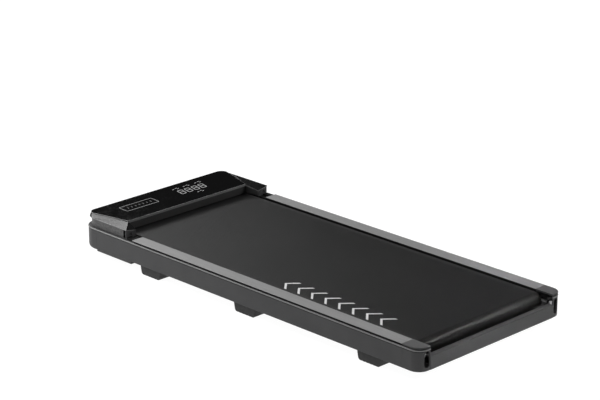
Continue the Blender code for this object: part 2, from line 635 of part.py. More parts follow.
def make_drive_belt(material):
    roller, motor = (FRONT_ROLLER_Y, ROLLER_Z), (MOTOR_Y, MOTOR_Z)
    inner = belt_outline(roller, DRIVE_PULLEY_RADIUS + 0.0006, motor, MOTOR_PULLEY_RADIUS + 0.0006, 14)
    growth = 0.0004 + DRIVE_BELT_THICKNESS
    outer = belt_outline(roller, DRIVE_PULLEY_RADIUS + growth, motor, MOTOR_PULLEY_RADIUS + growth, 14)
    add_object("drive_belt", hollow_prism(outer, inner, "X", PULLEY_LEFT + 0.0006, PULLEY_RIGHT - 0.0006),
               material, smooth_degrees=30)


def smooth_route(points, steps):
    """Points on a smooth curve through the route's own points."""
    padded = [points[0] * 2 - points[1]] + points + [points[-1] * 2 - points[-2]]
    route = []
    for before, start, end, after in zip(padded, padded[1:], padded[2:], padded[3:]):
        for step in range(steps):
            t = step / steps
            route.append(0.5 * (2 * start + (end - before) * t + (2 * before - 5 * start + 4 * end - after) * t ** 2
                                + (3 * start - before - 3 * end + after) * t ** 3))
    route.append(points[-1])
    return route


def make_electronics(controller_material, lead_material):
    controller = add_object("motor_controller", block((0.000, 0.525, 0.0326), (0.098, 0.578, 0.062)),
                            controller_material)
    for rib in range(5):
        x = 0.009 + rib * 0.018
        combine(controller, block((x, 0.520, 0.050), (x + 0.008, 0.583, 0.065)))
    curve = bpy.data.curves.new("motor_lead", "CURVE")
    curve.dimensions = "3D"
    curve.bevel_depth = 0.003
    curve.bevel_resolution = 2
    curve.use_fill_caps = True
    route = smooth_route([Vector(point) for point in (
        (MOTOR_RIGHT + 0.0004, 0.548, 0.079), (-0.070, 0.548, 0.079), (-0.056, 0.546, 0.075),
        (-0.044, 0.545, 0.062), (-0.034, 0.546, 0.049), (-0.020, 0.548, 0.042), (-0.010, 0.550, 0.041),
        (-0.0004, 0.550, 0.041))], 3)
    spline = curve.splines.new("POLY")
    spline.points.add(len(route) - 1)
    for point, position in zip(spline.points, route):
        point.co = (*position, 1.0)
    lead = bpy.data.objects.new("motor_lead", curve)
    curve.materials.append(lead_material)
    bpy.context.scene.collection.objects.link(lead)


# ---------------------------------------------------------------- mains panel
def make_power_inlet(material):
    half_x, half_z = 0.0145, 0.011
    inlet = add_object("power_inlet", block((INLET_X - half_x, 0.570, CONTROLS_Z - half_z),
                                            (INLET_X + half_x, 0.5995, CONTROLS_Z + half_z)), material)
    combine(inlet, block((INLET_X - 0.0122, 0.582, CONTROLS_Z - 0.0087),
                         (INLET_X + 0.0122, 0.610, CONTROLS_Z + 0.0087)))
    for offset, drop in ((-0.007, -0.0015), (0.0, 0.0025), (0.007, -0.0015)):
        x, z = INLET_X + offset, CONTROLS_Z + drop
        combine(inlet, block((x - 0.001, 0.581, z - 0.002), (x + 0.001, 0.5955, z + 0.002)), "UNION")


def make_power_switch(body_material, rocker_material):
    half_x, half_z = 0.010, 0.013
    body = add_object("switch_body", block((SWITCH_X - half_x, 0.572, CONTROLS_Z - half_z),
                                           (SWITCH_X + half_x, 0.5993, CONTROLS_Z + half_z)), body_material)
    combine(body, block((SWITCH_X - 0.0085, 0.585, CONTROLS_Z - 0.0117),
                        (SWITCH_X + 0.0085, 0.610, CONTROLS_Z + 0.0117)))
    pivot_y, half_height, tilt = 0.5915, 0.009, math.radians(10)
    dish = half_height * math.tan(tilt)
    outline = [(-0.004, -0.006), (0.005 + dish, -half_height), (0.005, 0.0), (0.005 + dish, half_height),
               (-0.004, 0.006)]
    rocker = prism(outline, "X", -0.0081, 0.0081)
    bmesh.ops.rotate(rocker, verts=rocker.verts, cent=(0, 0, 0), matrix=Matrix.Rotation(-tilt, 3, "X"))
    pivot = (SWITCH_X, pivot_y, CONTROLS_Z)
    bmesh.ops.translate(rocker, verts=rocker.verts, vec=pivot)
    add_object("power_switch", rocker, rocker_material, pivot)


def make_breaker(body_material, button_material):
    centre = (BREAKER_X, CONTROLS_Z)
    body = [(0.575, 0.007), (0.5985, 0.007), (0.5993, 0.0062)]
    add_object("breaker_body", turned(body, centre, "Y", 24, bore=0.0048), body_material, smooth_degrees=30)
    button = [(0.583, 0.0044), (0.5990, 0.0044), (0.5997, 0.0036)]
    add_object("breaker_button", turned(button, centre, "Y", 20), button_material,
               (BREAKER_X, 0.5997, CONTROLS_Z), 30)


# ---------------------------------------------------------------- what it stands and rolls on
def make_transport_wheels(wheel_material, pin_material):
    centre = (WHEEL_Y, WHEEL_Z)
    for label, side in SIDES:
        tread = [(WHEEL_INNER, WHEEL_RADIUS - 0.0015), (WHEEL_INNER + 0.0015, WHEEL_RADIUS),
                 (WHEEL_OUTER - 0.0015, WHEEL_RADIUS), (WHEEL_OUTER, WHEEL_RADIUS - 0.0015)]
        tread = sorted((side * x, radius) for x, radius in tread)
        add_object(f"transport_wheel_{label}", turned(tread, centre, "X", 28, bore=WHEEL_PIN_RADIUS + 0.0004),
                   wheel_material, (0, *centre), 30)
        pin = [(0.1925, 0.006), (0.196, 0.006), (0.196, WHEEL_PIN_RADIUS), (0.240, WHEEL_PIN_RADIUS)]
        pin = [(side * x, radius) for x, radius in pin]
        add_object(f"wheel_pin_{label}", turned(pin, centre, "X", 16), pin_material, smooth_degrees=30)


def make_rubber_feet(material):
    top_half, bottom_half, top = 0.039, 0.034, SKIRT_BOTTOM - GAP
    for place_name, y in FOOT_CENTRES.items():
        for label, side in SIDES:
            outline = [(y - bottom_half, 0.0), (y + bottom_half, 0.0), (y + bottom_half + 0.002, 0.002),
                       (y + top_half, top), (y - top_half, top), (y - bottom_half - 0.002, 0.002)]
            x = sorted((side * 0.212, side * 0.252))
            add_object(f"rubber_foot_{place_name}_{label}", prism(outline, "X", *x), material)


def build():
    clear_scene()
    mat = make_materials()
    make_side_frames(mat["frame"])
    make_cross_members(mat["frame"])
    make_motor_tray(mat["frame"])
    make_deck(mat["deck"], mat["rubber"])
    make_walking_belt(mat["belt"])
    make_front_roller(mat["steel"], mat["steel"], mat["alloy"], mat["black"])
    make_rear_roller(mat["steel"], mat["steel"], mat["alloy"])
    make_foot_rails(mat["rail"])
    make_side_skirts(mat["shell"])
    make_rear_caps(mat["shell"])
    make_rear_crossbar(mat["shell"])
    make_front_shell(mat["shell"])
    make_belly_pan(mat["black"])
    make_head_cover(mat["head"])
    make_head_band(mat["band"])
    make_arm_plugs(mat["shell"])
    make_display(mat["panel"], mat["board"])
    make_motor(mat["alloy"], mat["frame"], mat["steel"])
    make_drive_belt(mat["rubber"])
    make_electronics(mat["alloy"], mat["black"])
    make_power_inlet(mat["black"])
    make_power_switch(mat["black"], mat["red"])
    make_breaker(mat["black"], mat["red"])
    make_transport_wheels(mat["rubber"], mat["steel"])
    make_rubber_feet(mat["rubber"])


build()
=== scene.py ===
"""Looks of the flat walking treadmill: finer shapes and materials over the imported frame.

Metres, in the frame's own axes: +Y is the display end, +Z is up, and the floor is at z = 0.
"""

import json
import math

import bmesh
import bpy
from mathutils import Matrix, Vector


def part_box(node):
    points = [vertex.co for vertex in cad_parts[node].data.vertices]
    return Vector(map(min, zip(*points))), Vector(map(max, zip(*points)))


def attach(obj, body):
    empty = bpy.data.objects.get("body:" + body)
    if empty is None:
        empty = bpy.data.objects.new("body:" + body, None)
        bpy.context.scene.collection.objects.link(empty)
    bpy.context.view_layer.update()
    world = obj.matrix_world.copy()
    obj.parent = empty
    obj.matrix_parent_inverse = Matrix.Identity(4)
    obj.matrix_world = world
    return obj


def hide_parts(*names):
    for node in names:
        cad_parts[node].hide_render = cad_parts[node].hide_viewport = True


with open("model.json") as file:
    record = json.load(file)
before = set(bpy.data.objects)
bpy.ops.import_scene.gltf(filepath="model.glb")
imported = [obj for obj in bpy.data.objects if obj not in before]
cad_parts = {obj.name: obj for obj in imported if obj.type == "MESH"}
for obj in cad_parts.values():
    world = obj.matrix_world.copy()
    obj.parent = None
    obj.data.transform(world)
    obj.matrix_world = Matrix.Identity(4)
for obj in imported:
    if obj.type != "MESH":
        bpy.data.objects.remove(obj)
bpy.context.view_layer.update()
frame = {"nodes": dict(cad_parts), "record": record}

# ------------------------ sizes taken from the frame
rail_low, rail_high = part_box("foot_rail_right")
skirt_low, skirt_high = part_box("side_skirt_right")
cap_low, cap_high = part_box("rear_cap_right")
bar_low, bar_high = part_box("rear_crossbar")
shell_low, shell_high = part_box("front_shell")
cover_low, cover_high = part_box("head_cover")
panel_low, panel_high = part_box("display_panel")
band_low, band_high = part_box("head_band")
plug_low, plug_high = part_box("arm_plug_right")
belt_low, belt_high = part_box("walking_belt")
bolt_low, bolt_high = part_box("tension_bolt_right")
wheel_low, wheel_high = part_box("transport_wheel_right")

HALF_WIDTH = cap_high.x
REAR = cap_low.y
FRONT = shell_high.y
RIM_TOP = skirt_high.z
SKIRT_BOTTOM = skirt_low.z
RAIL_TOP = rail_high.z
RAIL_UNDERSIDE = 0.0825
CAP_CORNER_RADIUS = 0.030
NOSE_CORNER_RADIUS = 0.045
RIM_HEIGHT = 0.0034
WALL_FACE_INSET = 0.0007
HEAD_UNDERSIDE = 0.1025
COVER_LIP = 0.0015
PANEL_CORNER = (0.2095, panel_low.y)
PANEL_THICKNESS = 0.0015
PANEL_SLOPE = (panel_high.z - panel_low.z - PANEL_THICKNESS) / (panel_high.y - panel_low.y)
ARM_END_OUTER = (cover_high.x, 0.424)
ARM_END_INNER = (0.218, 0.4245, 0.0975)
PLUG_REAR, PLUG_FRONT = 0.4248, 0.4288
GAP = 0.0003
SIDES = (("left", -1), ("right", 1))


# ------------------------ mesh helpers
def place(plane_point, along, axis):
    """Turn a point of an outline, and a distance along the axis, into X, Y, Z."""
    first, second = plane_point
    if axis == "X":
        return (along, first, second)
    if axis == "Y":
        return (first, along, second)
    return (first, second, along)


def loft(rings, closed=False):
    """Skin rings of points that all have the same number of points; the ends are capped."""
    mesh = bmesh.new()
    rows = [[mesh.verts.new(point) for point in ring] for ring in rings]
    pairs = list(zip(rows, rows[1:]))
    if closed:
        pairs.append((rows[-1], rows[0]))
    else:
        mesh.faces.new(rows[0])
        mesh.faces.new(rows[-1])
    for row, next_row in pairs:
        for index in range(len(row)):
            following = (index + 1) % len(row)
            mesh.faces.new((row[index], row[following], next_row[following], next_row[index]))
    return mesh


def prism(outline, axis, low, high):
    """A straight extrusion of a closed outline along one axis."""
    return loft([[place(point, along, axis) for point in outline] for along in (low, high)])


def block(low, high):
    """A box between two corners."""
    outline = [(low[0], low[1]), (high[0], low[1]), (high[0], high[1]), (low[0], high[1])]
    return prism(outline, "Z", low[2], high[2])


def turned(stations, centre, axis, segments=48, bore=None):
    """A turned piece: (distance along the axis, radius) stations, with an optional bore."""
    profile = list(stations)
    if bore is not None:
        profile += [(stations[-1][0], bore), (stations[0][0], bore)]
    rings = []
    for along, radius in profile:
        ring = []
        for step in range(segments):
            angle = math.tau * step / segments
            point = (centre[0] + radius * math.cos(angle), centre[1] + radius * math.sin(angle))
            ring.append(place(point, along, axis))
        rings.append(ring)
    return loft(rings, closed=bore is not None)


def swept(path, profile):
    """A profile of (inward offset, height) carried along a plan path of (point, inward normal)."""
    return loft([[(point[0] + offset * normal[0], point[1] + offset * normal[1], height)
                  for offset, height in profile] for point, normal in path])


def arc(centre, radius, start_degrees, end_degrees, steps):
    """Points along an arc, both ends included."""
    points = []
    for step in range(steps + 1):
        angle = math.radians(start_degrees + (end_degrees - start_degrees) * step / steps)
        points.append((centre[0] + radius * math.cos(angle), centre[1] + radius * math.sin(angle)))
    return points


def rounded(corners, steps=4):
    """A closed outline whose corners, given as (first, second, radius), are rounded off."""
    outline = []
    for index, (first, second, radius) in enumerate(corners):
        corner = Vector((first, second))
        if radius == 0:
            outline.append(tuple(corner))
            continue
        before = (Vector(corners[index - 1][:2]) - corner).normalized()
        after = (Vector(corners[(index + 1) % len(corners)][:2]) - corner).normalized()
        half_angle = before.angle(after) / 2
        centre = corner + (before + after).normalized() * (radius / math.sin(half_angle))
        reach = radius / math.tan(half_angle)
        start, end = corner + before * reach - centre, corner + after * reach - centre
        turn = math.remainder(math.atan2(end.y, end.x) - math.atan2(start.y, start.x), math.tau)
        heading = math.atan2(start.y, start.x)
        for step in range(steps + 1):
            angle = heading + turn * step / steps
            outline.append((centre.x + radius * math.cos(angle), centre.y + radius * math.sin(angle)))
    return outline


def rectangle(first_low, second_low, first_high, second_high, radius, steps=4):
    """A rectangle with rounded corners."""
    return rounded([(first_low, second_low, radius), (first_high, second_low, radius),
                    (first_high, second_high, radius), (first_low, second_high, radius)], steps)


def side_span(side, inner, outer):
    """Low and high X of a span that is given for the right side, on the side wanted."""
    return sorted((side * inner, side * outer))


def side_block(side, x_span, y_span, z_span):
    """A box that is given for the right side, on the side wanted."""
    x = side_span(side, *x_span)
    return block((x[0], y_span[0], z_span[0]), (x[1], y_span[1], z_span[1]))


def mirrored(outline, side):
    """An outline drawn for the right side, put on the side wanted."""
    return [(side * point[0], *point[1:]) for point in outline]


def nose_path(half_width, front, rear, radius, steps=24):
    """Plan path round the front end, right side first, with inward normals."""
    path = [((half_width, rear), (-1.0, 0.0))]
    for side, start, end in ((1, 0, 90), (-1, 90, 180)):
        centre = (side * (half_width - radius), front - radius)
        for point in arc(centre, radius, start, end, steps):
            normal = ((centre[0] - point[0]) / radius, (centre[1] - point[1]) / radius)
            path.append((point, normal))
    path.append(((-half_width, rear), (1.0, 0.0)))
    return path


def wall_face():
    """The wall's outside, top to bottom, as (inward offset, height): rim, shadow line, face, foot."""
    top, rim_foot, bottom = RIM_TOP, RIM_TOP - RIM_HEIGHT, SKIRT_BOTTOM
    shadow_depth, face = 0.0028, WALL_FACE_INSET
    return [(0.0018, top), (0.0009, top - 0.00025), (0.0003, top - 0.0008), (0.0, top - 0.0016),
            (0.0, rim_foot + 0.0004), (0.0003, rim_foot), (shadow_depth, rim_foot - 0.0002),
            (shadow_depth, rim_foot - 0.0012), (face, rim_foot - 0.0020), (face, bottom + 0.0010),
            (0.0008, bottom + 0.0005), (0.0011, bottom + 0.0002), (0.0016, bottom)]


# ------------------------ piece helpers
def linked(name, mesh, material):
    """Put a mesh in the scene as an object with outward faces."""
    bmesh.ops.recalc_face_normals(mesh, faces=mesh.faces)
    data = bpy.data.meshes.new(name)
    mesh.to_mesh(data)
    mesh.free()
    piece = bpy.data.objects.new(name, data)
    bpy.context.scene.collection.objects.link(piece)
    if material is not None:
        data.materials.append(material)
    return piece


def bake_modifiers(piece):
    """Keep the mesh that the modifiers make, and drop them."""
    graph = bpy.context.evaluated_depsgraph_get()
    piece.data = bpy.data.meshes.new_from_object(piece.evaluated_get(graph))
    piece.modifiers.clear()


def combine(piece, mesh, operation="DIFFERENCE"):
    """Cut a shape out of a piece, or join it on, straight away."""
    guide = linked(piece.name + "_guide", mesh, None)
    modifier = piece.modifiers.new("shape", "BOOLEAN")
    modifier.operation = operation
    modifier.solver = "EXACT"
    modifier.object = guide
    bake_modifiers(piece)
    bpy.data.objects.remove(guide, do_unlink=True)


def round_edges(piece, width, segments=2, angle=35):
    """Bevel the crisp edges of a piece."""
    modifier = piece.modifiers.new("edges", "BEVEL")
    modifier.width = width
    modifier.segments = segments
    modifier.limit_method = "ANGLE"
    modifier.angle_limit = math.radians(angle)
    modifier.miter_outer = "MITER_ARC"
    bake_modifiers(piece)


def colour_faces(piece, material, wanted):
    """Give the faces that a test of their centre and direction picks out another material; most uses paint a
    highlight or shade this way.
    """
    piece.data.materials.append(material)
    for face in piece.data.polygons:
        if wanted(face.center, face.normal):
            face.material_index = len(piece.data.materials) - 1


def paint_rim_highlight(piece, material):
    """Paint the raised rim line round the top of a wall a lighter grey, as a painted highlight."""
    def on_rim(centre, normal):
        outside = abs(centre.x) > HALF_WIDTH - 0.0025 or abs(centre.y) > FRONT - NOSE_CORNER_RADIUS
        return outside and RIM_TOP - RIM_HEIGHT < centre.z < RIM_TOP and abs(normal.z) < 0.99
    colour_faces(piece, material, on_rim)


def finish_piece(piece, body, slot, *nodes, smooth=38):
    """Shade a piece, put it on its body, and let it stand for its CAD nodes."""
    piece.data.shade_smooth()
    piece.data.set_sharp_from_angle(angle=math.radians(smooth))
    weighted = piece.modifiers.new("normals", "WEIGHTED_NORMAL")
    weighted.keep_sharp = True
    bake_modifiers(piece)
    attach(piece, body)
    if nodes:
        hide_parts(*nodes)
    return piece


# ------------------------ material helpers
class Finish:
    """A Principled material whose procedural detail is added step by step."""

    def __init__(self, name, color, roughness, metallic=0.0, specular=0.5):
        self.material = bpy.data.materials.new(name)
        self.material.use_nodes = True
        self.nodes = self.material.node_tree.nodes
        self.links = self.material.node_tree.links
        self.shader = self.nodes["Principled BSDF"]
        self.color = color
        self.shader.inputs["Base Color"].default_value = (*color, 1.0)
        self.shader.inputs["Roughness"].default_value = roughness
        self.shader.inputs["Metallic"].default_value = metallic
        self.shader.inputs["Specular IOR Level"].default_value = specular
        self.coordinates = self.nodes.new("ShaderNodeTexCoord").outputs["Object"]
        self.normal = None

    def scaled(self, scale, turn=0.0):
        """Object coordinates stretched by a scale for each axis, turned about Z."""
        mapping = self.nodes.new("ShaderNodeMapping")
        mapping.inputs["Scale"].default_value = scale
        mapping.inputs["Rotation"].default_value = (0.0, 0.0, turn)
        self.links.new(self.coordinates, mapping.inputs["Vector"])
        return mapping.outputs["Vector"]

    def noise(self, scale, detail=3.0, stretch=(1.0, 1.0, 1.0)):
        node = self.nodes.new("ShaderNodeTexNoise")
        node.inputs["Scale"].default_value = scale
        node.inputs["Detail"].default_value = detail
        self.links.new(self.scaled(stretch), node.inputs["Vector"])
        return node.outputs["Fac"]

    def cells(self, scale):
        node = self.nodes.new("ShaderNodeTexVoronoi")
        node.inputs["Scale"].default_value = scale
        self.links.new(self.coordinates, node.inputs["Vector"])
        return node.outputs["Distance"]

    def lines(self, pitch, direction="X", turn=0.0):
        """Evenly spaced soft lines, across X or Y."""
        node = self.nodes.new("ShaderNodeTexWave")
        node.wave_type = "BANDS"
        node.bands_direction = direction
        node.inputs["Scale"].default_value = math.tau / (20.0 * pitch)
        self.links.new(self.scaled((1.0, 1.0, 1.0), turn), node.inputs["Vector"])
        return node.outputs["Fac"]

    def math(self, operation, first, second):
        node = self.nodes.new("ShaderNodeMath")
        node.operation = operation
        for socket, value in zip(node.inputs, (first, second)):
            if isinstance(value, (int, float)):
                socket.default_value = value
            else:
                self.links.new(value, socket)
        return node.outputs["Value"]

    def spread(self, factor, low, high, start=0.3, end=0.7):
        """Map a pattern to a range of values."""
        node = self.nodes.new("ShaderNodeMapRange")
        node.inputs["From Min"].default_value = start
        node.inputs["From Max"].default_value = end
        node.inputs["To Min"].default_value = low
        node.inputs["To Max"].default_value = high
        self.links.new(factor, node.inputs["Value"])
        return node.outputs["Result"]

    def vary_color(self, factor, share):
        """Darken and lighten the colour by a share of itself, as the pattern says."""
        low = [value * (1 - share) for value in self.color]
        high = [value * (1 + share) for value in self.color]
        self.blend_colors(self.spread(factor, 0.0, 1.0), low, high)

    def blend_colors(self, factor, low, high):
        node = self.nodes.new("ShaderNodeMix")
        node.data_type = "RGBA"
        node.inputs["A"].default_value = (*low, 1.0)
        node.inputs["B"].default_value = (*high, 1.0)
        self.links.new(factor, node.inputs["Factor"])
        self.links.new(node.outputs["Result"], self.shader.inputs["Base Color"])

    def vary_roughness(self, factor, low, high):
        self.links.new(self.spread(factor, low, high), self.shader.inputs["Roughness"])

    def bump(self, height, distance, strength=1.0):
        """Add relief of this depth, over any that is there already."""
        node = self.nodes.new("ShaderNodeBump")
        node.inputs["Distance"].default_value = distance
        node.inputs["Strength"].default_value = strength
        self.links.new(height, node.inputs["Height"])
        if self.normal is not None:
            self.links.new(self.normal, node.inputs["Normal"])
        self.normal = node.outputs["Normal"]
        self.links.new(self.normal, self.shader.inputs["Normal"])


def moulded_plastic(name, color, roughness, grain=900.0, depth=0.00004, specular=0.5):
    """Satin plastic: fine moulded grain, faint cloudiness, slightly uneven gloss."""
    finish = Finish(name, color, roughness, specular=specular)
    finish.vary_color(finish.noise(14.0, 5.0), 0.07)
    finish.vary_roughness(finish.noise(60.0, 4.0), roughness - 0.04, roughness + 0.05)
    finish.bump(finish.noise(grain, 2.0), depth)
    return finish.material


def rail_finish():
    """Silver grey rail, with fine lengthwise lines and a dusty grain."""
    finish = Finish("silver_grey_rail", (0.215, 0.215, 0.215), 0.48, specular=0.4)
    streaks = finish.noise(40.0, 5.0, (12.0, 0.35, 12.0))
    grain = finish.noise(420.0, 3.0)
    finish.vary_color(finish.math("ADD", finish.math("MULTIPLY", streaks, 0.6),
                                  finish.math("MULTIPLY", grain, 0.4)), 0.16)
    finish.vary_roughness(grain, 0.38, 0.50)
    finish.bump(finish.lines(0.0028), 0.00010, 0.5)
    finish.bump(grain, 0.00006)
    return finish.material


def band_finish():
    """Coarse textured dark grey plastic."""
    finish = Finish("textured_band", (0.078, 0.078, 0.078), 0.55, specular=0.3)
    lumps = finish.noise(330.0, 4.0)
    finish.vary_color(lumps, 0.45)
    finish.bump(finish.cells(520.0), 0.00018, 0.8)
    finish.bump(lumps, 0.00022)
    return finish.material


def panel_finish():
    """Gloss black cover glass, with the faintest dust."""
    finish = Finish("gloss_panel", (0.0016, 0.0016, 0.0017), 0.07, specular=0.3)
    finish.vary_roughness(finish.noise(35.0, 6.0), 0.05, 0.11)
    return finish.material


def belt_finish():
    """Woven-pattern running belt: a fine diamond grid, dull, with soft lighter and darker areas."""
    finish = Finish("running_belt", (0.0145, 0.0145, 0.0145), 0.42, specular=0.15)
    one_way = finish.lines(0.0032, "X", math.radians(38))
    other_way = finish.lines(0.0032, "X", math.radians(-38))
    diamonds = finish.math("MULTIPLY", one_way, other_way)
    clouds = finish.noise(5.0, 4.0)
    weave = finish.math("MULTIPLY", diamonds, 0.45)
    finish.vary_color(finish.math("ADD", weave, finish.math("MULTIPLY", clouds, 0.55)), 0.22)
    finish.vary_roughness(diamonds, 0.36, 0.46)
    finish.bump(diamonds, 0.00030, 0.7)
    finish.bump(finish.noise(1400.0, 2.0), 0.00004)
    return finish.material


def rubber_finish(name, color, roughness=0.72):
    finish = Finish(name, color, roughness, specular=0.35)
    finish.vary_color(finish.noise(120.0, 4.0), 0.2)
    finish.bump(finish.noise(700.0, 3.0), 0.00008)
    return finish.material


def painted_finish():
    finish = Finish("black_painted_steel", (0.018, 0.018, 0.018), 0.42)
    finish.vary_color(finish.noise(40.0, 4.0), 0.15)
    finish.bump(finish.noise(260.0, 3.0), 0.00008)
    return finish.material


def brushed_metal(name, color, roughness, stretch):
    """Bare metal with fine tool marks round or along it."""
    finish = Finish(name, color, roughness, metallic=1.0)
    marks = finish.noise(900.0, 3.0, stretch)
    finish.vary_color(marks, 0.08)
    finish.vary_roughness(marks, roughness - 0.07, roughness + 0.08)
    finish.bump(marks, 0.00002)
    return finish.material


def board_finish():
    """Pressed deck board with a speckled, waxed face."""
    finish = Finish("deck_board_face", (0.10, 0.075, 0.05), 0.5)
    finish.vary_color(finish.noise(160.0, 6.0, (1.0, 0.5, 1.0)), 0.35)
    finish.bump(finish.noise(300.0, 3.0), 0.00005)
    return finish.material


def print_finish(name, color, glow=0.0):
    """Flat ink, a lit segment, or a dark mark with a faint painted glow, very slightly patchy."""
    finish = Finish(name, color, 0.5)
    finish.vary_color(finish.noise(260.0, 4.0), 0.06)
    finish.shader.inputs["Emission Color"].default_value = (1.0, 1.0, 1.0, 1.0)
    finish.shader.inputs["Emission Strength"].default_value = glow
    return finish.material


def make_materials():
    return {
        "shell": moulded_plastic("dark_grey_shell", (0.064, 0.064, 0.065), 0.36, specular=0.08),
        # rim: a lighter grey painted on rim lines, the lid's lip and the panel's edge as a painted highlight
        "rim": moulded_plastic("painted_rim_highlight", (0.17, 0.17, 0.17), 0.40),
        # recess: near-black painted shade for faces that lie in shadow
        "recess": moulded_plastic("painted_shade_black", (0.007, 0.007, 0.007), 0.60, specular=0.1),
        # cap_top: the shell plastic painted lighter on the caps' tops, as painted light from above
        "cap_top": moulded_plastic("cap_top_painted_light", (0.088, 0.088, 0.089), 0.42, specular=0.2),
        # edge: lighter lines near the belt's edges, a painted highlight
        "edge": moulded_plastic("painted_belt_edge_highlight", (0.034, 0.034, 0.034), 0.60, specular=0.2),
        "wall": moulded_plastic("head_wall_plastic", (0.045, 0.045, 0.045), 0.45, specular=0.25),
        "rail": rail_finish(),
        "band": band_finish(),
        "head": moulded_plastic("head_cover_plastic", (0.0045, 0.0045, 0.0045), 0.18, depth=0.000008),
        "panel": panel_finish(),
        "belt": belt_finish(),
        "deck": board_finish(),
        "rubber": rubber_finish("black_rubber", (0.026, 0.026, 0.026)),
        "frame": painted_finish(),
        "steel": brushed_metal("bright_steel", (0.58, 0.58, 0.59), 0.30, (0.05, 1.0, 1.0)),
        "alloy": brushed_metal("cast_aluminium", (0.42, 0.42, 0.43), 0.42, (0.4, 0.4, 0.4)),
        "board": moulded_plastic("green_circuit_board", (0.018, 0.10, 0.045), 0.38),
        "black": moulded_plastic("black_plastic", (0.014, 0.014, 0.014), 0.45),
        "red": moulded_plastic("red_rocker", (0.32, 0.018, 0.014), 0.32),
        "ink": print_finish("white_print", (0.62, 0.62, 0.62)),
        "lit": print_finish("lit_segments", (0.10, 0.10, 0.10), 0.22),
        # dim: dark ticks with a faint painted glow, though they are not lit
        "dim": print_finish("painted_glow_marks", (0.05, 0.05, 0.05), 0.015),
    }


# ------------------------ outer trim
def make_foot_rails(mat):
    """Flat rails with a leg down beside the belt and a pad that rests on the side skirt."""
    inner, outer, leg = rail_low.x, rail_high.x, 0.0025
    pad_inner, pad_outer, pad_bottom = 0.235, 0.252, RIM_TOP + GAP
    crisp, soft = 0.0004, 0.0012
    corners = [(inner, rail_low.z, crisp), (inner + leg, rail_low.z, crisp),
               (inner + leg, RAIL_UNDERSIDE, 0.0005), (pad_inner, RAIL_UNDERSIDE, 0),
               (pad_inner, pad_bottom, 0), (pad_outer, pad_bottom, 0), (pad_outer, RAIL_UNDERSIDE, 0),
               (outer, RAIL_UNDERSIDE, crisp), (outer, RAIL_TOP, soft), (inner, RAIL_TOP, soft)]
    for label, side in SIDES:
        mesh = prism(mirrored(rounded(corners), side), "Y", rail_low.y, rail_high.y)
        rail = linked(f"foot_rail_{label}_piece", mesh, mat["rail"])
        # Every rail face that does not face up (inner leg, outer edge, ends, underside) is painted
        # near-black as painted shade.
        colour_faces(rail, mat["recess"], lambda centre, normal: normal.z < 0.3)
        finish_piece(rail, "frame", "rail", f"foot_rail_{label}")


def make_side_skirts(mat):
    """Upright side walls with the rim along the top, and a flange inwards under the rail."""
    face = [(HALF_WIDTH - offset, height) for offset, height in wall_face()]
    wall, flange_inner, flange_bottom = skirt_high.x - 0.0043, skirt_low.x, RIM_TOP - 0.0025
    outline = face + [(wall, SKIRT_BOTTOM), (wall, flange_bottom), (flange_inner, flange_bottom),
                      (flange_inner, RIM_TOP)]
    for label, side in SIDES:
        mesh = prism(mirrored(outline, side), "Y", skirt_low.y, skirt_high.y)
        skirt = linked(f"side_skirt_{label}_piece", mesh, mat["shell"])
        # Painted highlight along the skirt's rim line.
        paint_rim_highlight(skirt, mat["rim"])
        finish_piece(skirt, "frame", "shell", f"side_skirt_{label}")


def rear_corner(half_width, rear, inner, front, radius, steps=20):
    """Plan outline of the right rear corner, rounded outside."""
    centre = (half_width - radius, rear + radius)
    return [(inner, front), (inner, rear)] + arc(centre, radius, -90, 0, steps) + [(half_width, front)]


def make_rear_caps(mat):
    """Hollow corner caps, each with a slot for the tension key, a floor and a low inner wall."""
    wall, groove = 0.004, 0.0034
    top_edge = [(groove, RAIL_UNDERSIDE), (0.0008, RAIL_UNDERSIDE), (0.0003, RAIL_UNDERSIDE + 0.0005),
                (0.0003, RAIL_TOP - 0.0014), (0.0006, RAIL_TOP - 0.0006), (0.0011, RAIL_TOP - 0.0002),
                (0.0018, RAIL_TOP)]
    levels = list(reversed([(groove, RIM_TOP)] + wall_face())) + top_edge

    hollow = rear_corner(HALF_WIDTH - wall, REAR + wall, 0.210, -0.540, CAP_CORNER_RADIUS - wall)
    hollow_bottom = 0.020

    step_in, floor_front, floor_top = 0.002, -0.584, SKIRT_BOTTOM + 0.003
    floor_rear = REAR + step_in
    corner_centre = (HALF_WIDTH - CAP_CORNER_RADIUS, REAR + CAP_CORNER_RADIUS)
    floor = [(cap_low.x, floor_front), (cap_low.x, floor_rear)]
    floor += arc(corner_centre, CAP_CORNER_RADIUS - step_in, -90, -30, 10)
    inner_wall = ((cap_low.x, cap_low.x + step_in), (floor_rear, floor_front), (SKIRT_BOTTOM, 0.040))

    slot_x, slot_radius, slot_bottom, slot_top = 0.230, 0.008, 0.041, 0.065
    slot = arc((slot_x, slot_top), slot_radius, 0, 180, 12)
    slot += arc((slot_x, slot_bottom), slot_radius, 180, 360, 12)

    for label, side in SIDES:
        rings = []
        for inset, height in levels:
            radius = CAP_CORNER_RADIUS - inset
            plan = rear_corner(HALF_WIDTH - inset, REAR + inset, cap_low.x, cap_high.y, radius)
            rings.append([(side * x, y, height) for x, y in plan])
        cap = linked(f"rear_cap_{label}_piece", loft(rings), mat["shell"])
        combine(cap, prism(mirrored(hollow, side), "Z", hollow_bottom, RAIL_TOP - wall))
        combine(cap, prism(mirrored(floor, side), "Z", SKIRT_BOTTOM, floor_top), "UNION")
        combine(cap, side_block(side, *inner_wall), "UNION")
        combine(cap, prism(mirrored(slot, side), "Y", -0.610, -0.590))
        # Painted highlight along the cap's rim line.
        paint_rim_highlight(cap, mat["rim"])
        # The caps' upward faces get a lighter grey than the shell: painted light from above.
        colour_faces(cap, mat["cap_top"],
                     lambda centre, normal: normal.z > 0.9 and centre.z > RAIL_TOP - 0.0005)
        finish_piece(cap, "frame", "shell", f"rear_cap_{label}")


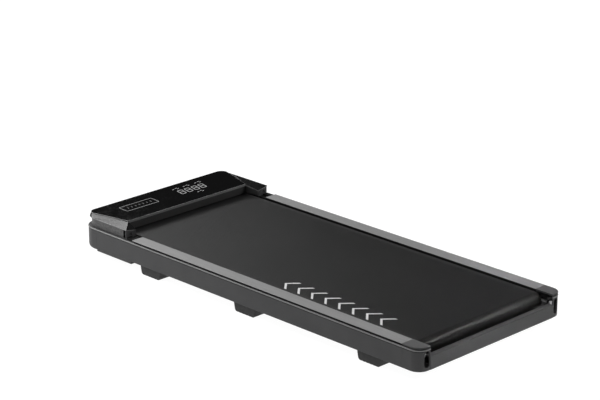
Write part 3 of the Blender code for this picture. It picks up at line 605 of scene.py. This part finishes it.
def make_rear_crossbar(mat):
    """A bar across the back, with a flange that runs forward under the rear roller."""
    wall, flange, front = 0.004, 0.003, -0.585
    rear, flange_front, top, bottom = bar_low.y, bar_high.y, bar_high.z, bar_low.z
    corners = [(rear, bottom, 0.0008), (rear, top, 0.0018), (front, top, 0.0010),
               (front, top - wall, 0.0005), (rear + wall, top - wall, 0.0015),
               (rear + wall, bottom + flange, 0.0010),
               (flange_front, bottom + flange, 0.0005), (flange_front, bottom, 0.0005)]
    mesh = prism(rounded(corners), "X", bar_low.x, bar_high.x)
    finish_piece(linked("rear_crossbar_piece", mesh, mat["shell"]), "frame", "shell", "rear_crossbar")


# ------------------------ front end
def make_front_shell(mat):
    """The nose: upright walls with the rim, curling under into the floor of the motor bay."""
    path = nose_path(HALF_WIDTH, FRONT, shell_low.y, NOSE_CORNER_RADIUS)
    bottom, floor_top, wall = shell_low.z, shell_low.z + 0.0025, 0.004
    outside = [point for point in wall_face() if point[1] > RIM_TOP - RIM_HEIGHT - 0.0025]
    curl_start, curl_reach, curl_steps = 0.029, 0.0101, 8
    for step in range(curl_steps + 1):
        angle = math.radians(90 * step / curl_steps)
        outside.append((WALL_FACE_INSET + curl_reach * (1 - math.cos(angle)),
                        curl_start - (curl_start - bottom) * math.sin(angle)))
    ledge_inset, ledge_bottom = 0.013, 0.076
    inside = [(0.022, bottom), (0.022, floor_top), (0.0116, floor_top), (0.0090, 0.0209), (0.0066, 0.0228),
              (0.0053, 0.0256), (0.0048, 0.0295), (0.0048, 0.0735), (wall, ledge_bottom),
              (ledge_inset, ledge_bottom), (ledge_inset, RIM_TOP)]
    shell = linked("front_shell_piece", swept(path, outside + inside), mat["shell"])

    floor = [(0.2365, shell_low.y + 0.0001)] + arc((0.212, 0.555), 0.0245, 0, 90, 16)
    inset = 0.0002
    combine(shell, prism(both_halves(floor), "Z", bottom + inset, floor_top - inset), "UNION")
    for _, side in SIDES:
        x = side_span(side, 0.1945, 0.2175)
        wheel_opening = rectangle(x[0], 0.550, x[1], 0.5945, 0.003)
        combine(shell, prism(wheel_opening, "Z", 0.010, 0.0285))

    cut_from, cut_to, slack = 0.590, 0.610, 0.0003
    for node, radius in (("power_inlet", 0.0015), ("switch_body", 0.001)):
        low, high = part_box(node)
        opening = rectangle(low.x - slack, low.z - slack, high.x + slack, high.z + slack, radius)
        combine(shell, prism(opening, "Y", cut_from, cut_to))
    low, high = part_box("breaker_body")
    centre, breaker_hole = ((low.x + high.x) / 2, (low.z + high.z) / 2), 0.0073
    combine(shell, turned([(cut_from, breaker_hole), (cut_to, breaker_hole)], centre, "Y"))
    # Painted highlight along the nose's rim line.
    paint_rim_highlight(shell, mat["rim"])
    finish_piece(shell, "frame", "shell", "front_shell")


def panel_half_outline(inset=0.0, steps=20):
    """Right half of the gloss panel, from its rear corner to the front edge."""
    half_width, front, radius = panel_high.x, panel_high.y, 0.020
    centre = (half_width - radius, front - radius)
    return [(PANEL_CORNER[0] - inset, PANEL_CORNER[1] + inset)] + arc(centre, radius - inset, 0, 90, steps)


def panel_height(y):
    """Height of the top of the gloss panel, which rises towards the front."""
    return panel_low.z + PANEL_THICKNESS + PANEL_SLOPE * (y - panel_low.y)


def laid_on_panel(mesh):
    """Lift a mesh drawn about height 0 onto the sloping top of the panel."""
    for vert in mesh.verts:
        vert.co.z += panel_height(vert.co.y)
    return mesh


def cover_half_outline(steps=20):
    """Right half of the head cover's outer edge, point for point with the panel's."""
    radius = 0.040
    centre = (cover_high.x - radius, cover_high.y - radius)
    return [ARM_END_OUTER] + arc(centre, radius, 0, 90, steps)


def both_halves(half):
    """A right half outline, closed with its mirror image."""
    return half + [(-x, y) for x, y in reversed(half)]


def arm_inner_edge(y):
    """Distance of an arm's inner edge from the centre line, at a place along the arm."""
    return PANEL_CORNER[0] + (ARM_END_INNER[0] - PANEL_CORNER[0]) * (y - PANEL_CORNER[1]) / (
        ARM_END_INNER[1] - PANEL_CORNER[1])


def arm_ceiling(x, y):
    """Height of the right arm's underside, flat outside its fold and sloping down inside it."""
    corner, outer, inner = Vector(PANEL_CORNER), Vector(ARM_END_OUTER), Vector(ARM_END_INNER[:2])
    across = Vector(((outer - corner).y, -(outer - corner).x))
    share = (Vector((x, y)) - corner).dot(across) / (inner - corner).dot(across)
    return HEAD_UNDERSIDE - max(share, 0.0) * (HEAD_UNDERSIDE - ARM_END_INNER[2] + COVER_LIP)


def under_arm(outline, side, low, clearance):
    """An upright shape under one arm, whose top follows the arm's underside at a clearance."""
    mesh = loft([[(side * x, y, low) for x, y in outline],
                 [(side * x, y, arm_ceiling(x, y) - clearance) for x, y in outline]])
    mesh.faces.ensure_lookup_table()
    bmesh.ops.triangulate(mesh, faces=[mesh.faces[1]])
    return mesh


def make_head_cover(mat):
    """A faceted lid with two arms that reach back over the foot rails."""
    mesh = bmesh.new()
    seat = PANEL_THICKNESS + GAP
    panel = [mesh.verts.new((x, y, panel_height(y) - seat)) for x, y in both_halves(panel_half_outline())]
    edge = [mesh.verts.new((x, y, HEAD_UNDERSIDE + COVER_LIP)) for x, y in both_halves(cover_half_outline())]
    ends = [mesh.verts.new((side * ARM_END_INNER[0], *ARM_END_INNER[1:])) for side in (-1, 1)]
    mesh.faces.new(panel)
    for index in range(len(panel) - 1):
        mesh.faces.new((panel[index], edge[index], edge[index + 1], panel[index + 1]))
    mesh.faces.new((panel[-1], edge[-1], ends[0]))
    mesh.faces.new((panel[0], ends[1], edge[0]))
    boundary = edge + [ends[0], panel[-1], panel[0], ends[1]]
    lower = [mesh.verts.new((vert.co.x, vert.co.y, min(vert.co.z - COVER_LIP, HEAD_UNDERSIDE)))
             for vert in boundary]
    left_end, left_corner, right_corner, right_end = lower[len(edge):]
    mesh.faces.new(lower[:len(edge)] + [left_corner, right_corner])
    mesh.faces.new((lower[len(edge) - 1], left_end, left_corner))
    mesh.faces.new((right_corner, right_end, lower[0]))
    for index in range(len(boundary)):
        following = (index + 1) % len(boundary)
        mesh.faces.new((boundary[index], boundary[following], lower[following], lower[index]))
    bmesh.ops.triangulate(mesh, faces=[face for face in mesh.faces if len(face.verts) == 4])
    cover = linked("head_cover_piece", mesh, mat["head"])

    joint, thickness, back = 0.0006, 0.003, PANEL_CORNER[1] + GAP
    corner_x = arm_inner_edge(back) + GAP
    combine(cover, block((-corner_x - thickness, back, cover_low.z),
                         (corner_x + thickness, back + thickness, HEAD_UNDERSIDE + joint)), "UNION")
    end_y = PLUG_FRONT + GAP
    end_x = arm_inner_edge(end_y) + GAP
    wall = [(corner_x, back), (end_x, end_y), (end_x + thickness, end_y),
            (corner_x + thickness, back + thickness)]
    for _, side in SIDES:
        combine(cover, under_arm(wall, side, cover_low.z, -joint), "UNION")
    round_edges(cover, 0.0004, 2, 25)
    margin = 0.0001
    lip_top = HEAD_UNDERSIDE + COVER_LIP + margin

    def height_under(centre):
        if abs(centre.x) > PANEL_CORNER[0] - 0.001:
            return arm_ceiling(abs(centre.x), centre.y)
        return HEAD_UNDERSIDE

    def on_wall(centre, normal):
        return centre.z < height_under(centre) - margin and abs(normal.z) < 0.7

    def on_lip(centre, normal):
        on_edge = centre.z < lip_top or centre.y < back
        return centre.z > height_under(centre) and abs(normal.z) < 0.85 and on_edge

    colour_faces(cover, mat["wall"], on_wall)
    # The lip round the lid's lower edge gets the rim's lighter grey: a painted highlight.
    colour_faces(cover, mat["rim"], on_lip)
    finish_piece(cover, "frame", "head", "head_cover", smooth=7)


def make_head_band(mat):
    """The recessed, textured wall under the lid's edge."""
    path = nose_path(band_high.x, band_high.y, band_low.y, 0.035)
    low, high = band_low.z, band_high.z
    profile = [(0, low), (0, high), (0.003, high), (0.003, low + 0.002), (0.009, low + 0.002), (0.009, low)]
    finish_piece(linked("head_band_piece", swept(path, profile), mat["band"]), "frame", "band", "head_band")


def make_arm_plugs(mat):
    """The end plates of the arms: a body inside the arm, a small recess, and a step to the foot rail."""
    outer, bottom = plug_high.x, 0.0808
    plate = [(arm_inner_edge(PLUG_REAR) + GAP, PLUG_REAR), (outer, PLUG_REAR), (outer, PLUG_FRONT),
             (arm_inner_edge(PLUG_FRONT) + GAP, PLUG_FRONT)]
    body = ((0.2212, 0.2440), (0.4260, plug_high.y), (0.0815, 0.0955))
    margin, lip_rear = 0.0001, 0.4230
    lip = ((0.2192, 0.2508), (lip_rear, 0.4260), (bottom + 0.0001, bottom + 0.0020))
    step = ((0.2198, 0.2506), (plug_low.y, 0.4270), (plug_low.z, bottom + 0.0006))
    ledge = ((0.2345, 0.2506), (plug_low.y, 0.4225), (plug_low.z, RAIL_TOP - 0.0004))
    for label, side in SIDES:
        plug = linked(f"arm_plug_{label}_piece", under_arm(plate, side, bottom, GAP), mat["shell"])
        round_edges(plug, 0.0010, 3, 40)
        for spans in (body, lip, step, ledge):
            combine(plug, side_block(side, *spans), "UNION")
        x = side_span(side, 0.2325, 0.2428)
        combine(plug, prism(rectangle(x[0], 0.0865, x[1], 0.0945, 0.0012), "Y", 0.4200, 0.4268))
        # The step and ledge down to the foot rail, and the body inside the arm, are painted near-black as
        # painted shade.
        colour_faces(plug, mat["recess"],
                     lambda centre, normal: centre.y < lip_rear - margin or centre.y > PLUG_FRONT + margin)
        finish_piece(plug, "frame", "shell", f"arm_plug_{label}")


def make_display(mat):
    """The gloss panel, with an edge ground round it."""
    edge = 0.0008
    levels = [(0.0, -PANEL_THICKNESS), (0.0, -edge), (edge * 0.3, -edge * 0.3), (edge, 0.0)]
    rings = [[(x, y, height) for x, y in both_halves(panel_half_outline(inset))] for inset, height in levels]
    panel = linked("display_panel_piece", laid_on_panel(loft(rings)), mat["panel"])
    # The panel's ground edge gets the rim's lighter grey: a painted highlight.
    colour_faces(panel, mat["rim"], lambda centre, normal: abs(normal.z) < 0.95)
    finish_piece(panel, "frame", "panel", "display_panel")


def joined(meshes):
    """Several separate closed shapes as one mesh."""
    whole = bmesh.new()
    for mesh in meshes:
        data = bpy.data.meshes.new("part")
        mesh.to_mesh(data)
        mesh.free()
        whole.from_mesh(data)
        bpy.data.meshes.remove(data)
    return whole


def bar(start, end, width, low, high):
    """A flat bar with pointed ends between two plan points, as in a lit digit."""
    start, end = Vector(start), Vector(end)
    along = (end - start).normalized()
    across = Vector((-along.y, along.x)) * width / 2
    tip = along * width / 2
    outline = [start, start + tip + across, end - tip + across,
               end, end - tip - across, start + tip - across]
    return prism([tuple(point) for point in outline], "Z", low, high)


def digit(left, bottom, low, high, width=0.0150, height=0.026, lean=0.18, stroke=0.0026):
    """All seven segments of one leaning digit."""
    def corner(column, row):
        return (left + column * width + row * height / 2 * lean, bottom + row * height / 2)
    runs = [((0, 0), (1, 0)), ((0, 1), (1, 1)), ((0, 2), (1, 2)), ((0, 0), (0, 1)), ((0, 1), (0, 2)),
            ((1, 0), (1, 1)), ((1, 1), (1, 2))]
    return [bar(corner(*start), corner(*end), stroke, low, high) for start, end in runs]


def make_panel_marks(mat):
    """What shows in the gloss panel: four digits, small indicators, and an outlined touch strip."""
    low, high = 0.0, 0.00008
    first_left, pitch, bottom = 0.029, 0.0245, 0.521
    digits = []
    for place_number in range(4):
        digits += digit(first_left + place_number * pitch, bottom, low, high)
    finish_piece(linked("display_digits", laid_on_panel(joined(digits)), mat["lit"]), "frame", "panel")

    strokes = (((-0.011, -0.001), (-0.003, 0.001), 0.0026), ((0.001, 0.003), (0.009, 0.003), 0.0024),
               ((0.004, -0.004), (0.012, -0.001), 0.0022))
    marks = []
    for centre in ((0.040, 0.5625), (0.078, 0.5625), (0.120, 0.5625), (0.080, 0.5055)):
        for start, end, thickness in strokes:
            ends = [(centre[0] + point[0], centre[1] + point[1]) for point in (start, end)]
            marks.append(bar(*ends, thickness, low, high))
    finish_piece(linked("display_indicators", laid_on_panel(joined(marks)), mat["lit"]), "frame", "panel")

    left, right, rear, front, line = -0.166, -0.054, 0.519, 0.555, 0.0015
    frame_rings = []
    for inset, height in ((0.0, low), (0.0, high), (line, high), (line, low)):
        outline = rectangle(left + inset, rear + inset, right - inset, front - inset, 0.004 - inset)
        frame_rings.append([(x, y, height) for x, y in outline])
    strip = laid_on_panel(loft(frame_rings, closed=True))
    finish_piece(linked("touch_strip_outline", strip, mat["lit"]), "frame", "panel")

    count, margin, tick_rear, tick_front, tick_lean = 7, 0.017, 0.532, 0.542, 0.002
    ticks = []
    for number in range(count):
        x = left + margin + number * (right - left - 2 * margin) / (count - 1)
        ticks.append(bar((x, tick_rear), (x + tick_lean, tick_front), 0.0030, low, high))
    # The touch strip's ticks glow faintly: painted light.
    finish_piece(linked("touch_strip_ticks", laid_on_panel(joined(ticks)), mat["dim"]), "frame", "panel")


# ------------------------ belt
def belt_outline(rear_centre, front_centre, radius, steps=32):
    """Outline of the belt's loop round two equal rollers, in the Y-Z plane."""
    return arc(front_centre, radius, -90, 90, steps) + arc(rear_centre, radius, 90, 270, steps)


def make_walking_belt(mat):
    """One closed loop round both rollers, a little thinner than the CAD one, with broken edges."""
    thickness, edge = 0.0016, 0.0004
    outer_radius = (belt_high.z - belt_low.z) / 2
    height = (belt_high.z + belt_low.z) / 2
    rear, front = (belt_low.y + outer_radius, height), (belt_high.y - outer_radius, height)
    levels = ((outer_radius - thickness, belt_high.x), (outer_radius - edge, belt_high.x),
              (outer_radius, belt_high.x - edge))
    rings = []
    for radius, half_width in levels:
        rings.append([(half_width, y, z) for y, z in belt_outline(rear, front, radius)])
    rings += [[(-x, y, z) for x, y, z in ring] for ring in reversed(rings)]
    belt = linked("walking_belt_piece", loft(rings, closed=True), mat["belt"])
    finish_piece(belt, "frame", "belt", "walking_belt")


def make_belt_marks(mat):
    """Printed plain chevrons that point the way the walker faces, and a lighter line near each edge painted
    as the edge's highlight.
    """
    low, high = belt_high.z - 0.00002, belt_high.z + 0.00010
    centre_x, half_reach, depth, stroke = -0.178, 0.026, 0.024, 0.0075
    left, right = centre_x - half_reach, centre_x + half_reach
    first, last, count = -0.084, -0.403, 8
    chevrons = []
    for number in range(count):
        tip = first + (last - first) * number / (count - 1)
        foot = tip - depth
        outline = [(centre_x, tip), (right, foot), (right, foot - stroke), (centre_x, tip - stroke),
                   (left, foot - stroke), (left, foot)]
        chevrons.append(prism(outline, "Z", low, high))
    finish_piece(linked("belt_chevrons", joined(chevrons), mat["ink"]), "frame", "belt")

    # Lighter strips near the belt's edges: a painted highlight of the edge.
    line_inner, line_outer, rear, front = 0.2055, 0.2092, -0.545, 0.466
    edge_highlights = []
    for _, side in SIDES:
        edge_highlights.append(side_block(side, (line_inner, line_outer), (rear, front), (low, high)))
    finish_piece(linked("belt_edge_highlight_strips", joined(edge_highlights), mat["edge"]), "frame", "belt")


# ------------------------ feet, wheels and bolts
def make_rubber_feet(mat):
    """Six tapered blocks with rounded ends and five grooves across each sole."""
    taper, groove_width, groove_depth = 0.005, 0.003, 0.0012
    groove_count, groove_pitch, past = 5, 0.011, 0.01
    for place_name in ("front", "middle", "rear"):
        for label, _ in SIDES:
            node = f"rubber_foot_{place_name}_{label}"
            low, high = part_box(node)
            centre, top_half = (low.y + high.y) / 2, (high.y - low.y) / 2
            bottom_half = top_half - taper
            corners = [(centre - bottom_half, low.z, 0.0080), (centre + bottom_half, low.z, 0.0080),
                       (centre + top_half, high.z, 0.0015), (centre - top_half, high.z, 0.0015)]
            foot = linked(f"{node}_piece", prism(rounded(corners), "X", low.x, high.x), mat["rubber"])
            round_edges(foot, 0.0012, 3, 50)
            for number in range(groove_count):
                y = centre + (number - groove_count // 2) * groove_pitch
                combine(foot, block((low.x - past, y - groove_width / 2, low.z - past),
                                    (high.x + past, y + groove_width / 2, low.z + groove_depth)))
            finish_piece(foot, "frame", "rubber", node)


def make_transport_wheels(mat):
    """Small wheels with a dished side, a rounded tread and a fine line round the middle."""
    centre = ((wheel_low.y + wheel_high.y) / 2, (wheel_low.z + wheel_high.z) / 2)
    radius, bore, edge = (wheel_high.z - wheel_low.z) / 2, 0.0039, 0.002
    inner, outer = wheel_low.x, wheel_high.x
    hub, dish = 0.011, 0.003
    stations = [(inner, hub - 0.003), (inner, hub), (inner + dish, hub + 0.001),
                (inner + dish, radius - 0.004), (inner, radius - 0.003), (inner, radius - edge)]
    stations += [(inner + edge * (1 - math.cos(angle)), radius - edge * (1 - math.sin(angle)))
                 for angle in (math.radians(30), math.radians(60), math.radians(90))]
    middle = (inner + outer) / 2
    stations += [(middle - 0.0012, radius), (middle - 0.0008, radius - 0.0012)]
    stations += [(inner + outer - along, reach) for along, reach in reversed(stations)]
    for label, side in SIDES:
        profile = [(side * along, reach) for along, reach in stations]
        mesh = turned(profile, centre, "X", 56, bore)
        node = f"transport_wheel_{label}"
        finish_piece(linked(f"{node}_piece", mesh, mat["rubber"]), node, "rubber", node)


def make_tension_bolts(mat):
    """Socket screws with a hexagon recess and a ridged thread."""
    radius, pitch, thread_depth, socket = 0.003, 0.001, 0.0004, 0.0022
    head_rear, head_front, end = bolt_low.y, -0.5836, bolt_high.y
    stations = [(head_rear, 0.0040), (head_rear + 0.0003, 0.0047), (head_rear + 0.0008, 0.0050),
                (head_front, 0.0050), (head_front, radius), (head_front + 0.003, radius)]
    along = head_front + 0.0035
    while along < end - 2 * pitch:
        stations += [(along, radius - thread_depth), (along + pitch / 2, radius)]
        along += pitch
    stations += [(end - 0.001, radius - thread_depth), (end, radius - 0.001)]
    for label, side in SIDES:
        centre = (side * (bolt_low.x + bolt_high.x) / 2, (bolt_low.z + bolt_high.z) / 2)
        bolt = linked(f"tension_bolt_{label}_piece", turned(stations, centre, "Y", 24), mat["steel"])
        combine(bolt, turned([(head_rear - 0.002, socket), (head_rear + 0.003, socket)], centre, "Y", 6))
        finish_piece(bolt, f"tension_bolt_{label}", "steel", f"tension_bolt_{label}")


# ------------------------ pieces that keep their CAD shape
def refine(node, material, slot, edge=0.0):
    """A smoother copy of a CAD node: its flat faces whole again, and its edges broken."""
    mesh = bmesh.new()
    mesh.from_mesh(frame["nodes"][node].data)
    bmesh.ops.remove_doubles(mesh, verts=mesh.verts, dist=1e-5)
    bmesh.ops.dissolve_limit(mesh, angle_limit=math.radians(0.5), verts=mesh.verts, edges=mesh.edges)
    piece = linked(f"{node}_piece", mesh, material)
    if edge:
        round_edges(piece, edge, 2, 40)
    body = next(name for name, nodes in frame["record"]["behaviour"]["bodies"].items() if node in nodes)
    return finish_piece(piece, body, slot, node)


def make_inner_pieces(mat):
    """Every node that keeps its CAD shape: its finish, and how wide its broken edges are."""
    edge_widths = {
        "frame": (("side_frame_left", 0.0006), ("side_frame_right", 0.0006), ("cross_tube_front", 0.0012),
                  ("cross_tube_middle", 0.0012), ("cross_tube_rear", 0.0012), ("front_cross_plate", 0.0005),
                  ("rear_cross_plate", 0.0005), ("motor_tray", 0.0005), ("motor_bracket", 0.0004)),
        "deck": (("deck_board", 0.0008),),
        "rubber": (("deck_cushion_left", 0.001), ("deck_cushion_right", 0.001), ("drive_belt", 0.0)),
        "steel": (("drive_roller", 0.0003), ("drive_shaft", 0.0), ("rear_roller", 0.0003),
                  ("rear_axle", 0.0), ("motor_rotor", 0.0), ("wheel_pin_left", 0.0003),
                  ("wheel_pin_right", 0.0003)),
        "alloy": (("roller_pulley", 0.0), ("rear_bearing_left", 0.0003), ("rear_bearing_right", 0.0003),
                  ("motor_body", 0.0), ("motor_controller", 0.0004)),
        "black": (("front_bearing_left", 0.0003), ("front_bearing_right", 0.0003), ("belly_pan", 0.0008),
                  ("motor_lead", 0.0), ("power_inlet", 0.0004), ("switch_body", 0.0003),
                  ("breaker_body", 0.0)),
        "board": (("display_board", 0.0002),),
        "red": (("power_switch", 0.0004), ("breaker_button", 0.0)),
    }
    for slot, nodes in edge_widths.items():
        for node, edge in nodes:
            refine(node, mat[slot], slot, edge)


# ------------------------ studio
def make_floor():
    reach = 20.0
    corners = ((-reach, -reach, 0), (reach, -reach, 0), (reach, reach, 0), (-reach, reach, 0))
    mesh = bmesh.new()
    mesh.faces.new([mesh.verts.new(corner) for corner in corners])
    finish = Finish("pale_floor", (0.12, 0.12, 0.12), 0.9, specular=0.0)
    finish.vary_color(finish.noise(2.0), 0.01)
    finish.shader.inputs["Emission Color"].default_value = (1.0, 1.0, 1.0, 1.0)
    finish.shader.inputs["Emission Strength"].default_value = 0.97
    linked("floor", mesh, finish.material)


def make_softbox(name, position, target, size, power, spread=180, in_gloss=True):
    """A lamp with a flat face; spread is its beam's angle, and in_gloss lets glossy faces mirror it."""
    data = bpy.data.lights.new(name, "AREA")
    data.shape = "RECTANGLE"
    data.size, data.size_y = size
    data.energy = power
    data.spread = math.radians(spread)
    light = bpy.data.objects.new(name, data)
    light.location = position
    light.visible_glossy = in_gloss
    light.rotation_euler = (Vector(target) - Vector(position)).to_track_quat("-Z", "Y").to_euler()
    bpy.context.scene.collection.objects.link(light)


def make_lights():
    make_softbox("overhead_softbox", (-0.9, 1.3, 3.4), (0.0, 0.2, 0.0), (3.4, 3.2), 96)
    make_softbox("back_softbox", (0.1, 3.9, 3.1), (0.0, 0.3, 0.1), (6.0, 1.7), 138)
    make_softbox("right_softbox", (3.6, -3.0, 2.8), (0.0, -0.55, 0.05), (2.0, 1.6), 125, in_gloss=False)
    make_softbox("roller_strip", (1.79, -1.80, 1.52), (0.06, -0.48, 0.09), (0.5, 0.08), 0.25, spread=9)
    make_softbox("rear_fill", (-1.4, -3.7, 0.7), (-0.1, -0.5, 0.05), (1.0, 0.8), 3.5)
    make_softbox("left_fill", (-1.05, 1.2, 0.32), (-0.257, 0.45, 0.05), (0.6, 0.4), 6.0)


def make_room():
    """A dim grey room for the light that reaches the object, seen as plain white behind it."""
    world = bpy.data.worlds.new("studio")
    world.use_nodes = True
    nodes, links = world.node_tree.nodes, world.node_tree.links
    room = nodes["Background"]
    room.inputs["Color"].default_value = (0.03, 0.03, 0.03, 1.0)
    seen = nodes.new("ShaderNodeBackground")
    seen.inputs["Color"].default_value = (1.0, 1.0, 1.0, 1.0)
    ray = nodes.new("ShaderNodeLightPath")
    mix = nodes.new("ShaderNodeMixShader")
    links.new(ray.outputs["Is Camera Ray"], mix.inputs["Fac"])
    links.new(room.outputs["Background"], mix.inputs[1])
    links.new(seen.outputs["Background"], mix.inputs[2])
    links.new(mix.outputs["Shader"], nodes["World Output"].inputs["Surface"])
    bpy.context.scene.world = world
    bpy.context.scene.view_settings.view_transform = "Standard"


def make_camera():
    target = Vector((0.2694, 0.3150, 0.085))
    distance, azimuth, elevation = 5.8516, math.radians(-44.751), math.radians(19.397)
    back = Vector((math.sin(azimuth) * math.cos(elevation), -math.cos(azimuth) * math.cos(elevation),
                   math.sin(elevation)))
    data = bpy.data.cameras.new("camera")
    data.sensor_width = 36.0
    data.lens = 130.13
    camera = bpy.data.objects.new("camera", data)
    camera.location = target + back * distance
    camera.rotation_euler = (-back).to_track_quat("-Z", "Y").to_euler()
    bpy.context.scene.collection.objects.link(camera)
    bpy.context.scene.camera = camera


# ------------------------ all of it
def build():
    mat = make_materials()
    make_camera()
    make_foot_rails(mat)
    make_side_skirts(mat)
    make_rear_caps(mat)
    make_rear_crossbar(mat)
    make_front_shell(mat)
    make_head_cover(mat)
    make_head_band(mat)
    make_arm_plugs(mat)
    make_display(mat)
    make_panel_marks(mat)
    make_walking_belt(mat)
    make_belt_marks(mat)
    make_rubber_feet(mat)
    make_transport_wheels(mat)
    make_tension_bolts(mat)
    make_inner_pieces(mat)
    make_floor()
    make_lights()
    make_room()


build()
